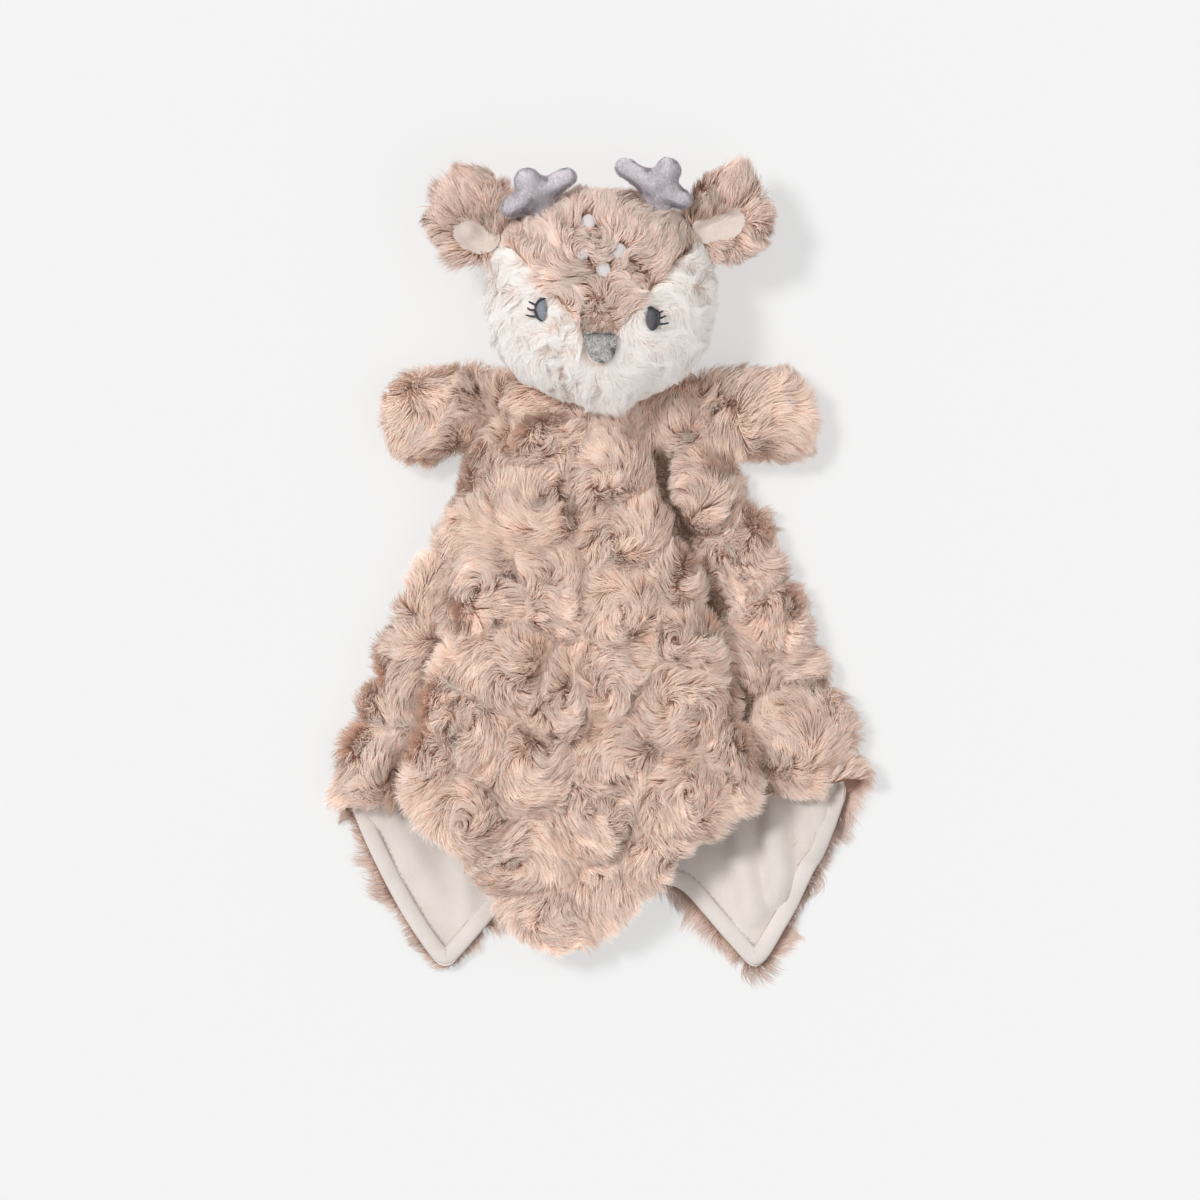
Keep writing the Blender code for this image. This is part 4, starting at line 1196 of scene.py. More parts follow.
    def creased(self, points: Array) -> Array:
        """How high the soft creases of the lower layer stand at each place."""
        total = np.zeros(points.shape[:-1])
        for x0, y0, x1, y1, height, width in self.creases:
            start, way = np.array([x0, y0]), np.array([x1 - x0, y1 - y0])
            along = ((points[..., :2] - start) @ way / (way @ way)).clip(0, 1)
            apart = np.linalg.norm(points[..., :2] - start - along[..., None] * way, axis=-1)
            total += height * bell(apart, width)
        return total

    def lowered(self, points: Array) -> Array:
        """The free corner's cloth, falling from the flap to the cloth below its tip."""
        fallen = soft_step(self.hem_y + 0.004, self.corner_outline[5][1] - 0.004, points[..., 1])
        target = self.tip_height + 0.0025 * np.cos(points[..., 0] * 60)
        made = points.copy()
        made[..., 2] += (target - made[..., 2]) * fallen
        return made


class Blanket:
    """The plush square, its lining, its hem and its pile."""

    FOLDED = ((3.5, 7.0), (14.85, 18.85))
    CREVICE, VALLEY, RIM = 19.2, 2.9, 14.3

    def __init__(self, form: BlanketForm) -> None:
        """Lay the cloth out.

        Args:
            form: How the blanket is folded.
        """
        self.form = form
        pitch, self.rows = ((0.0021, 108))
        stations = len(form.stations(np.zeros(1)))
        self.at = form.columns(0.0, stations, pitch)[:-1]
        first, last = form.flap_stations
        self.corner_at = form.columns(first, last, pitch)
        wave = Ripple(5, 0.060)
        body = self._grid(self.at, form.top_y, form.hem(self.at, False), self.rows)
        lower = soft_step(-0.080, -0.120, body[..., 1]) * (self.at >= form.under_from)[None]
        lift = form.wave_height * (1 + wave(body.reshape(-1, 3)).reshape(body.shape[:2])) + form.creased(body)
        body[..., 2] += lift * lower
        corner = form.lowered(self._grid(self.corner_at, form.split_y, form.hem(self.corner_at, True), self.rows // 2))
        self.body_plain, self.corner_plain = body, corner
        plain = mesh_object("swirl_guide", body.reshape(-1, 3), grid_faces(*body.shape[:2], True))
        extra = mesh_object("corner_guide", corner.reshape(-1, 3), grid_faces(*corner.shape[:2], False))
        both = [Skin.of(o) for o in (plain, extra)]
        joined = Skin(
            np.concatenate([s.points for s in both]),
            np.concatenate([both[0].triangles, both[1].triangles + len(both[0].points)]),
            np.concatenate([s.normals for s in both]),
        )
        for guide in (plain, extra):
            bpy.data.objects.remove(guide)
        self.swirls = Swirls(joined, 0.0255, seed=7, flatten=2.2, tufted=0.6)
        self.ripple = Ripple(3, 0.030, 3)

    def _grid(self, at: Array, top: float, hem: Array, rows: int) -> Array:
        """Points of a stretch of cloth, rows by columns by 3."""
        share = np.linspace(0, 1, rows)[:, None]
        return self.form.round_section(at, top + share * (hem - top)[None])

    def _swell(self, grid: Array, closed: bool, shown: Array) -> Array:
        """Raise the rosettes on a grid where its cloth shows."""
        normals = grid_normals(grid, closed)
        mound = self.swirls.mound(grid.reshape(-1, 3)).reshape(grid.shape[:2])
        return grid + normals * (mound * shown[None] * self.form.mound_height)[..., None]

    def build(self) -> None:
        """Build and dress the whole blanket."""
        form, at = self.form, self.at
        hidden = np.zeros(len(at), bool)
        for low, high in self.FOLDED:
            hidden |= (at > low) & (at < high)
        shown = np.where(hidden | (at > form.under_from + 0.5), 0.0, 1.0)
        beside = np.minimum(np.abs(at - 19.0), np.abs(at - 3.0))
        shown = shown * soft_step(0.3, 1.2, beside)
        body = self._swell(self.body_plain, True, shown)
        corner = self._swell(self.corner_plain, False, np.ones(len(self.corner_at)))
        cloth = mesh_object("blanket_cloth", body.reshape(-1, 3), grid_faces(*body.shape[:2], True))
        flap = mesh_object("front_corner_cloth", corner.reshape(-1, 3), grid_faces(*corner.shape[:2], False))
        lining = self._lining("blanket_velour", self.body_plain, True)
        flap_lining = self._lining("front_corner_velour", self.corner_plain, False)
        for piece in (cloth, flap):
            dress(piece, Cloths.TAN_BACKING)
        settle([cloth], "blanket", ["blanket_plush"])
        settle([lining], "blanket", ["blanket_lining"])
        self._bend(flap, ["front_corner_plush"])
        self._bend(flap_lining, ["front_corner_lining"])
        rolled, corner_rolled = self._hems()
        piled, corner_piled = self._grow(cloth, flap, hidden)
        LOG.info("blanket: %d rosettes, %d tufts", len(self.swirls.centres), len(self.swirls.tufts))

    def _bend(self, piece: bpy.types.Object, nodes: Sequence[str] = ()) -> None:
        """Bake a piece of the free corner into place and hide the CAD nodes that it replaces."""
        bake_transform(piece)
        if nodes:
            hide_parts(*nodes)

    def _lining(self, name: str, grid: Array, closed: bool) -> bpy.types.Object:
        """The velour inside a stretch of cloth."""
        normals = grid_normals(grid, closed)
        made = grid - normals * self.form.lining_depth
        flat = made.reshape(-1, 3)
        slanted = np.c_[flat[:, 0] * 0.75 - flat[:, 1] * 0.65, (flat[:, 0] + flat[:, 1]) * 0.25, flat[:, 2]]
        wrinkle = Ripple(11, 0.026)(slanted).reshape(made.shape[:2])
        made = made - normals * (self.form.wrinkle * (wrinkle + 0.2)).clip(-self.form.lining_depth * 0.5)[..., None]
        piece = mesh_object(name, made.reshape(-1, 3), grid_faces(*made.shape[:2], closed))
        piece.data.flip_normals()
        return dress(piece, Cloths.LINING)

    def _hems(self) -> tuple[list[bpy.types.Object], list[bpy.types.Object]]:
        """Roll the lining round the hems and topstitch it.

        Returns:
            The rolls and threads of the blanket, and those of its free corner.
        """
        first, last = self.form.flap_stations
        outside = np.flatnonzero((self.at > last) | (self.at < first))
        outside = np.roll(outside, -int((self.at < first).sum()))
        body = self._hem("blanket", self.body_plain, True, outside)
        settle(body, "blanket")
        corner = self._hem("front_corner", self.corner_plain, False, np.arange(len(self.corner_at)))
        for piece in corner:
            self._bend(piece)
        return body, corner

    def _hem(self, name: str, grid: Array, closed: bool, columns: Array) -> list[bpy.types.Object]:
        """The rolled border of one stretch of hem, and its row of stitches.

        Args:
            name: Start of the pieces' names.
            grid: The cloth.
            closed: Whether the cloth closes round.
            columns: The columns whose hem is rolled, in order.

        Returns:
            The roll and the thread.
        """
        form = self.form
        edge = grid[-1][columns]
        run = run_along(edge)
        even = np.linspace(0, run[-1], int(run[-1] / form.hem_pitch))

        def along(values: Array) -> Array:
            """Values at even distances along the hem, smoothed at its corners."""
            made = resampled(even, run, values)
            padded = np.pad(made, ((3, 3), (0, 0)), "edge")
            return sum(padded[i : i + len(made)] for i in range(7)) / 7

        line = along(edge)
        normal = unit(along(grid_normals(grid, closed)[-1][columns]))
        inward = unit(flat_on(along((grid[-5] - grid[-1])[columns]), normal))
        tangent = unit(np.gradient(line, axis=0))
        across = unit(np.cross(tangent, normal))
        across *= np.sign((across * inward).sum(1, keepdims=True))
        middle = line + across * (form.hem_width / 2) - normal * (form.lining_depth + 0.0008)
        turn = full_turn(16)
        soft = 1 + 0.16 * Ripple(17, 0.012)(line)[:, 0] + 0.10 * Ripple(18, 0.045)(line)[:, 0]
        rows = [
            middle[i]
            + np.cos(turn)[:, None] * across[i] * form.hem_width / 2 * (0.9 + 0.1 * soft[i])
            - np.sin(turn)[:, None] * normal[i] * form.hem_height / 2 * soft[i]
            for i in range(len(line))
        ]
        roll = dress(ring_body(f"{name}_hem_roll", rows), Cloths.LINING)
        seam = line + across * (form.hem_width + 0.0005) - normal * (form.lining_depth + 0.0009)
        thread = dress(self._stitches(f"{name}_hem_thread", seam, normal), Cloths.HEM_THREAD)
        return [roll, thread]

    def _stitches(self, name: str, seam: Array, normal: Array) -> bpy.types.Object:
        """Short stitches along a seam, one mesh.

        Args:
            name: The object's name.
            seam: Points along the seam.
            normal: The cloth's outward normal at each.

        Returns:
            The new object.
        """
        run = run_along(seam)
        starts = np.arange(0.001, run[-1] - 0.003, self.form.stitch_pitch)
        points: list[Array] = []
        faces: list[tuple[int, ...]] = []
        ring = full_turn(6)
        tube = closed_tube(4, 6)
        for start in starts:
            places = np.linspace(start, start + self.form.stitch_pitch * 0.74, 4)
            line = resampled(places, run, seam)
            up = -resampled(places, run, normal)
            side = unit(np.cross(line[-1] - line[0], up))
            first = len(points) * 6
            faces += [tuple(first + corner for corner in face) for face in tube]
            for i, (thick, lift) in enumerate(((0.45, -0.0002), (1.0, 0.0001), (1.0, 0.0001), (0.45, -0.0002))):
                out = np.cos(ring)[:, None] * side[i] + np.sin(ring)[:, None] * up[i]
                points.append(line[i] + up[i] * lift + self.form.thread / 2 * thick * out)
        return outward(mesh_object(name, np.concatenate(points), faces))

    def _grow(
        self, cloth: bpy.types.Object, flap: bpy.types.Object, hidden: Array
    ) -> tuple[list[bpy.types.Object], list[bpy.types.Object]]:
        """Grow the pile on the blanket's cloth and on its free corner.

        Args:
            cloth: The blanket's outer cloth.
            flap: The free corner's outer cloth.
            hidden: Which columns lie inside a fold.

        Returns:
            The pile of the blanket, and that of its free corner.
        """
        pile = Pile(
            length=0.0096, width=0.00030, per_square_metre=4.6e6, lift_deg=50.0, end_deg=-4.0, stand_deg=38.0,
            tuft=0.0036, pull=0.50, stray_deg=10.0,
        )

        def flow_for(grid: Array, closed: bool, spread: float, push: float = 1.3) -> Flow:
            """Swirled, and outward over the hem."""
            rim = grid[-1]
            out = np.cross(unit(np.gradient(rim, axis=0)), grid_normals(grid, closed)[-1])
            out *= np.sign((out * (rim - grid[-4])).sum(1, keepdims=True))

            def flow(places: Array, normals: Array) -> Array:
                along = self.swirls(places, normals) + 0.16 * self.ripple(places)
                index, distance = nearest(places, rim)
                share = np.exp(-distance / spread)[:, None]
                return along * (1 - 0.6 * share) + out[index] * share * push

            return flow

        skin = Skin.of(cloth)
        plain_at = np.repeat(self.at[None], self.rows, 0).ravel()
        hide = np.repeat(hidden[None], self.rows, 0).ravel()
        deep = hide[skin.triangles].all(1)
        under = (plain_at[skin.triangles] > self.form.under_from + 0.6).all(1)
        upper = Skin(skin.points, skin.triangles[~deep & ~under], skin.normals)
        low = np.minimum(skin.points, [np.inf, np.inf, self.form.under_height + 0.0008])
        lower = Skin(low, skin.triangles[under], skin.normals)
        coat = Coat(pile, Cloths.TAN, flow_for(self.body_plain, True, 0.006), 21)
        crevice, valley, rim = (self._line(station) for station in (self.CREVICE, self.VALLEY, self.RIM))

        def shares(places: Array, normals: Array) -> Array:
            """Shorter in the rosettes' middles, in the crevices beside the flap and on the flap's rim."""
            # The crevice beside the flap keeps a fifth of the pile. The coat's tone also darkens this short pile as
            # painted shade.
            beside = rising(0.20, 0.0070, 0.0165, nearest(places, crevice)[1])
            below = rising(0.62, 0.003, 0.010, nearest(places, valley)[1])
            above = rising(0.50, 0.002, 0.007, nearest(places, rim)[1])
            return self.swirls.shorter(places) * beside * below * above

        def fringe(places: Array, normals: Array) -> Array:
            """Uneven tufts round the lower hems."""
            return 0.42 + 0.34 * (1 + Ripple(24, 0.020)(places)[:, 0]).clip(0, 2)

        piled = coat.grow("blanket_pile_upper", upper, length_share=shares)
        flat = Pile(
            length=0.0115, width=0.00036, per_square_metre=3.0e6, lift_deg=22.0, end_deg=-4.0, stand_deg=14.0, pull=0.6,
            stray_deg=18.0,
        )
        # The under pile wears the darker copy of the tan, as painted shade.
        coat = Coat(flat, Cloths.UNDER_PAINTED_SHADE, flow_for(self.body_plain, True, 0.010, 1.1), 22)
        piled += coat.grow("blanket_pile_under", lower, length_share=fringe)
        settle(piled, "blanket")
        coat = Coat(pile, Cloths.TAN, flow_for(self.corner_plain, False, 0.006), 23, bends=True)
        corner = coat.grow("front_corner_pile", Skin.of(flap), length_share=self.swirls.shorter)
        for piece in corner:
            self._bend(piece)
        return piled, corner

    def _line(self, station: float) -> Array:
        """Points down the cloth at one station of its section."""
        y = np.linspace(self.form.hem_y, self.form.top_y, 80)
        return self.form.round_section(np.array([station]), y[:, None])[:, 0]


# ---- Neck and arms ----


def ring_body(name: str, rows: Sequence[Array]) -> bpy.types.Object:
    """A closed form through rings of points.

    Args:
        name: The object's name.
        rows: Rings of as many points each; the first and the last are closed by a fan.

    Returns:
        The new object.
    """
    count = len(rows[0])
    points = np.concatenate([*rows, rows[0].mean(0)[None], rows[-1].mean(0)[None]])
    faces: list[tuple[int, ...]] = list(grid_faces(len(rows), count, True))
    low, high, end = len(points) - 2, len(points) - 1, (len(rows) - 1) * count
    faces += [(low, (i + 1) % count, i) for i in range(count)]
    faces += [(high, end + i, end + (i + 1) % count) for i in range(count)]
    return outward(mesh_object(name, points, faces))


@dataclass
class Gather:
    """The drawn-up middle of the blanket, under the chin."""

    front_y: float = 0.0540
    half_length: float = 0.0425
    depth: float = 0.0280
    height: float = 0.0140
    middle_z: float = 0.0085

    def build(self) -> None:
        """Build and dress the gather."""
        rows = []
        ring = full_turn(28)
        for x in np.linspace(-1, 1, 28):
            swell = math.sqrt(max(1 - abs(x) ** 3, 0.02)) * (1 + 0.05 * math.cos(x * 19))
            half = self.depth * (0.72 + 0.28 * abs(x)) / 2
            across = self.front_y + half + np.cos(ring) * half
            up = self.middle_z + np.sin(ring) * self.height / 2 * swell
            rows.append(np.stack([np.full(28, x * self.half_length), across, up], 1))
        body = dress(ring_body("neck_gather_cloth", rows), Cloths.TAN_BACKING)
        settle([body], "blanket", ["neck_gather"])
        noise = Ripple(31, 0.025, 3)

        def flow(places: Array, normals: Array) -> Array:
            """Down and outward from under the chin."""
            away = np.stack([places[:, 0] * 14, -0.8 + 0 * places[:, 0], 0 * places[:, 0]], 1)
            return away + 0.7 * noise(places)

        pile = Pile(length=0.0100, width=0.00040, per_square_metre=2.2e6)
        pieces = Coat(pile, Cloths.TAN, flow, 31).grow("neck_gather_pile", Skin.of(body))
        settle(pieces, "blanket")
        knot = dress(ring_body("neck_knot_cloth", self._knot_rings()), Cloths.TAN_BACKING)
        settle([knot], "neck", ["neck_knot"])

    @staticmethod
    def _knot_rings() -> list[Array]:
        """Rings of the tied neck end, with its drawn pleats."""
        low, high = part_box("neck_knot")
        centre, radius = np.array((low + high) / 2), (high.x - low.x) / 2
        rings = []
        turn = full_turn(48)
        for part in np.linspace(0.12, math.pi - 0.12, 18):
            reach = radius * (0.95 + 0.04 * np.cos(turn * 9)) * math.sin(part)
            along = np.full(48, -radius * 0.97 * math.cos(part))
            rings.append(centre + np.stack([reach * np.cos(turn), along, reach * np.sin(turn)], 1))
        return rings


@dataclass
class Arm:
    """One stuffed arm, lying outward from its shoulder seam."""

    side: Side
    shoulder_x: float = 0.0435
    length: float = 0.0500
    shoulder_y: float = 0.0700
    end_y: float = 0.0635
    width: float = 0.0310
    thickness: float = 0.0190
    seam_width: float = 0.0250
    seam_thickness: float = 0.0060
    middle_z: float = 0.0130
    seam_z: float = 0.0070
    lowest_z: float = 0.0028
    round_from: float = 0.72
    end_close: float = 0.12

    def build(self) -> None:
        """Build and dress the arm."""
        sign, label = self.side.value, self.side.label
        rows = []
        ring = full_turn(32)
        for u in np.linspace(0.0, 1.0, 26):
            past = max(u - self.round_from, 0.0) / (1 - self.round_from)
            close = math.sqrt(1 - past**2) if u < 1.0 else self.end_close
            grown = float(soft_step(0.0, 0.55, u))
            half_width = (self.seam_width + (self.width - self.seam_width) * grown) / 2 * close
            half_thick = (self.seam_thickness + (self.thickness - self.seam_thickness) * grown) / 2 * close
            y = self.shoulder_y + (self.end_y - self.shoulder_y) * u
            z = self.seam_z + (self.middle_z - self.seam_z) * grown
            across = y + np.cos(ring) * half_width
            up = np.maximum(z + np.sin(ring) * half_thick, self.lowest_z)
            rows.append(np.stack([np.full(32, sign * (self.shoulder_x + u * self.length)), across, up], 1))
        body = dress(ring_body(f"{label}_arm_cloth", rows), Cloths.TAN_BACKING)
        nodes = [f"{label}_arm_{part}" for part in ("upper_panel", "under_panel", "stuffing")]
        settle([body], f"{label}_arm", nodes)
        noise = Ripple(41 + sign, 0.030, 3)
        swirls = Swirls(Skin.of(body), 0.021, seed=43 + sign)
        tip = np.array([sign * (self.shoulder_x + self.length * 1.1), self.end_y, self.middle_z])

        def flow(places: Array, normals: Array) -> Array:
            """Outward along the arm, tousled."""
            along = np.array([sign, -0.25, 0.0])
            round_end = unit(places - tip * np.array([0.92, 1, 1])) * 0.5
            return 0.75 * along + round_end + 0.50 * noise(places) + 0.30 * swirls(places, normals)

        pile = Pile(
            length=0.0108, width=0.00031, per_square_metre=3.9e6, lift_deg=42.0, tuft=0.0044, pull=0.56, stray_deg=10.0
        )
        pieces = Coat(pile, Cloths.TAN, flow, 45 + sign).grow(f"{label}_arm_pile", Skin.of(body))
        settle(pieces, f"{label}_arm")


# ---- Head ----


@dataclass
class HeadForm:
    """The head's outer form, as its settled pile leaves it."""

    width: float = 0.1050
    length: float = 0.1000
    height: float = 0.0700
    centre: tuple[float, float, float] = (0.0, 0.1172, 0.0345)
    cloth_offset: float = -0.0040
    lowest_z: float = 0.0030
    muzzle_rise: float = 0.0050
    muzzle_spread: float = 0.0240
    nose_share: float = -0.41
    seam_shares: tuple[tuple[float, float], ...] = (
        (0.137, -0.335),
        (0.180, -0.235),
        (0.310, -0.070),
        (0.485, 0.146),
        (0.640, 0.330),
        (0.840, 0.540),
        (1.300, 0.800),
    )

    @property
    def seam_z(self) -> float:
        """Height of the seam between the face and the back of the head."""
        return self.centre[2] - 0.0060

    @property
    def nose_y(self) -> float:
        """The nose's place along the head."""
        return self.centre[1] + self.nose_share * self.length / 2

    def surface(self, directions: Array, offset: float) -> Array:
        """Points of the form moved outward by an offset.

        Args:
            directions: Unit vectors, N by 3.
            offset: Distance outside the form.

        Returns:
            The points, N by 3.
        """
        half = np.array([self.width, self.length, self.height]) / 2 + offset
        local = directions * half
        from_nose = local[:, 0] ** 2 + (local[:, 1] - self.nose_share * self.length / 2) ** 2
        local[:, 2] += self.muzzle_rise * np.exp(-from_nose / self.muzzle_spread**2) * directions[:, 2].clip(0, 1)
        return local + np.array(self.centre)

    def over(self, x: Array, y: Array, offset: float) -> Array:
        """Points of the face above plan places, at an offset."""
        u = np.asarray(x, float) / (self.width / 2 + offset)
        v = (np.asarray(y, float) - self.centre[1]) / (self.length / 2 + offset)
        up = np.sqrt(np.maximum(1 - u * u - v * v, 0.0))
        return self.surface(np.stack([u, v, up], -1).reshape(-1, 3), offset)

    def face_normal(self, x: float, y: float) -> Array:
        """The face's outward normal above a plan place."""
        step = 0.001
        places = self.over(np.array([x - step, x + step, x, x]), np.array([y, y, y - step, y + step]), 0.0)
        return unit(np.cross(places[1] - places[0], places[3] - places[2]))

    def in_forehead(self, places: Array) -> Array:
        """Which places lie above the two seams that run up from the nose."""
        shares = np.array(self.seam_shares)
        across = np.abs(places[:, 0]) / (self.width / 2)
        along = (places[:, 1] - self.centre[1]) / (self.length / 2)
        limit = np.interp(across, shares[:, 0], shares[:, 1], left=shares[0, 1])
        return (along > limit) & (places[:, 2] > self.seam_z)


class Head:
    """The stuffed head: its cloth, its pile and its face."""

    def __init__(self, form: HeadForm) -> None:
        """Take the head's form.

        Args:
            form: The outer form.
        """
        self.form = form
        self.face = Face(form)

    def build(self) -> None:
        """Build and dress the head."""
        form = self.form
        sphere = bmesh.new()
        bmesh.ops.create_icosphere(sphere, subdivisions=6, radius=1.0)
        mesh = bpy.data.meshes.new("head_cloth")
        sphere.to_mesh(mesh)
        sphere.free()
        directions = np.empty(len(mesh.vertices) * 3, np.float32)
        mesh.vertices.foreach_get("co", directions)
        directions = unit(directions.reshape(-1, 3).astype(float))
        points = form.surface(directions, form.cloth_offset)
        points[:, 2] = np.maximum(points[:, 2], form.lowest_z)
        mesh.vertices.foreach_set("co", points.astype(np.float32).ravel())
        mesh.shade_smooth()
        mesh.update()
        body = linked("head_cloth", mesh)
        for finish in (Cloths.TAN_BACKING, Cloths.CREAM_BACKING):
            mesh.materials.append(finish.material())
        middles = np.array([p.center for p in mesh.polygons])
        cream = (middles[:, 2] > form.seam_z) & ~form.in_forehead(middles)
        mesh.polygons.foreach_set("material_index", cream.astype(np.int32))
        nodes = ["forehead_panel", "left_cheek_panel", "right_cheek_panel", "head_back_panel", "head_stuffing"]
        settle([body], "head", nodes)
        self._coats(Skin.of(body))
        self.face.build()

    def _coats(self, skin: Skin) -> None:
        """Grow the tan and the cream pile."""
        form, face = self.form, self.face
        nose = np.array([0.0, form.nose_y + 0.006, 0.055])
        wild = Ripple(51, 0.022, 3)
        soft = Ripple(52, 0.030, 3)
        fine = Ripple(54, 0.012, 3)
        swirls = Swirls(skin, 0.0190, seed=53, tufted=0.5)

        def brow_flow(places: Array, normals: Array) -> Array:
            """Up and outward from the nose, tousled."""
            return 0.8 * unit(places - nose) + 0.55 * swirls(places, normals) + 0.45 * wild(places)

        def cheek_flow(places: Array, normals: Array) -> Array:
            """Outward from the nose and down the chin."""
            away = unit(places - nose)
            away[:, 1] -= 0.75
            return 0.7 * away + 0.40 * soft(places) + 0.42 * fine(places)

        def back_flow(places: Array, normals: Array) -> Array:
            """Swirled, away from the face."""
            return swirls(places, normals) + 0.3 * wild(places) + np.array([0.0, 0.0, -0.8])

        bridge = np.array([0.0, form.nose_y + 0.0064])

        def bridge_short(places: Array, _: Array) -> Array:
            """Shorter pile on the bridge above the nose."""
            apart = np.linalg.norm(places[:, :2] - bridge, axis=1)
            return rising(0.20, 0.0045, 0.0150, apart)

        brow = Pile(
            length=0.0088, width=0.00030, per_square_metre=4.2e6, lift_deg=48.0, tuft=0.0036, pull=0.58, stray_deg=12.0
        )
        cheek = Pile(
            length=0.0074, width=0.00024, per_square_metre=6.0e6, lift_deg=36.0, end_deg=6.0, tuft=0.0036, pull=0.45,
            stand_deg=22.0, stray_deg=16.0,
        )
        back = Pile(length=0.0084, width=0.00040, per_square_metre=2.6e6, lift_deg=32.0, tuft=0.004)
        def on_brow(places: Array, _: Array) -> Array:
            """On the forehead panel, clear of the embroidery."""
            return form.in_forehead(places) & face.clear(places, 0.0)

        def on_cheek(places: Array, _: Array) -> Array:
            """On the cheek panels, clear of the embroidery."""
            return (places[:, 2] > form.seam_z) & ~form.in_forehead(places) & face.clear(places, 0.0)

        crown = Coat(brow, Cloths.BROW, brow_flow, 55).grow(
            "forehead_pile", skin, on_brow, bridge_short, face.covered
        )
        cheeks = Coat(cheek, Cloths.CREAM, cheek_flow, 56).grow(
            "cheek_pile", skin, on_cheek, face.trimmed, face.covered
        )
        rear = Coat(back, Cloths.TAN, back_flow, 57).grow("head_back_pile", skin, lambda p, _: p[:, 2] <= form.seam_z)
        settle(crown + rear, "head")
        settle(cheeks, "head")


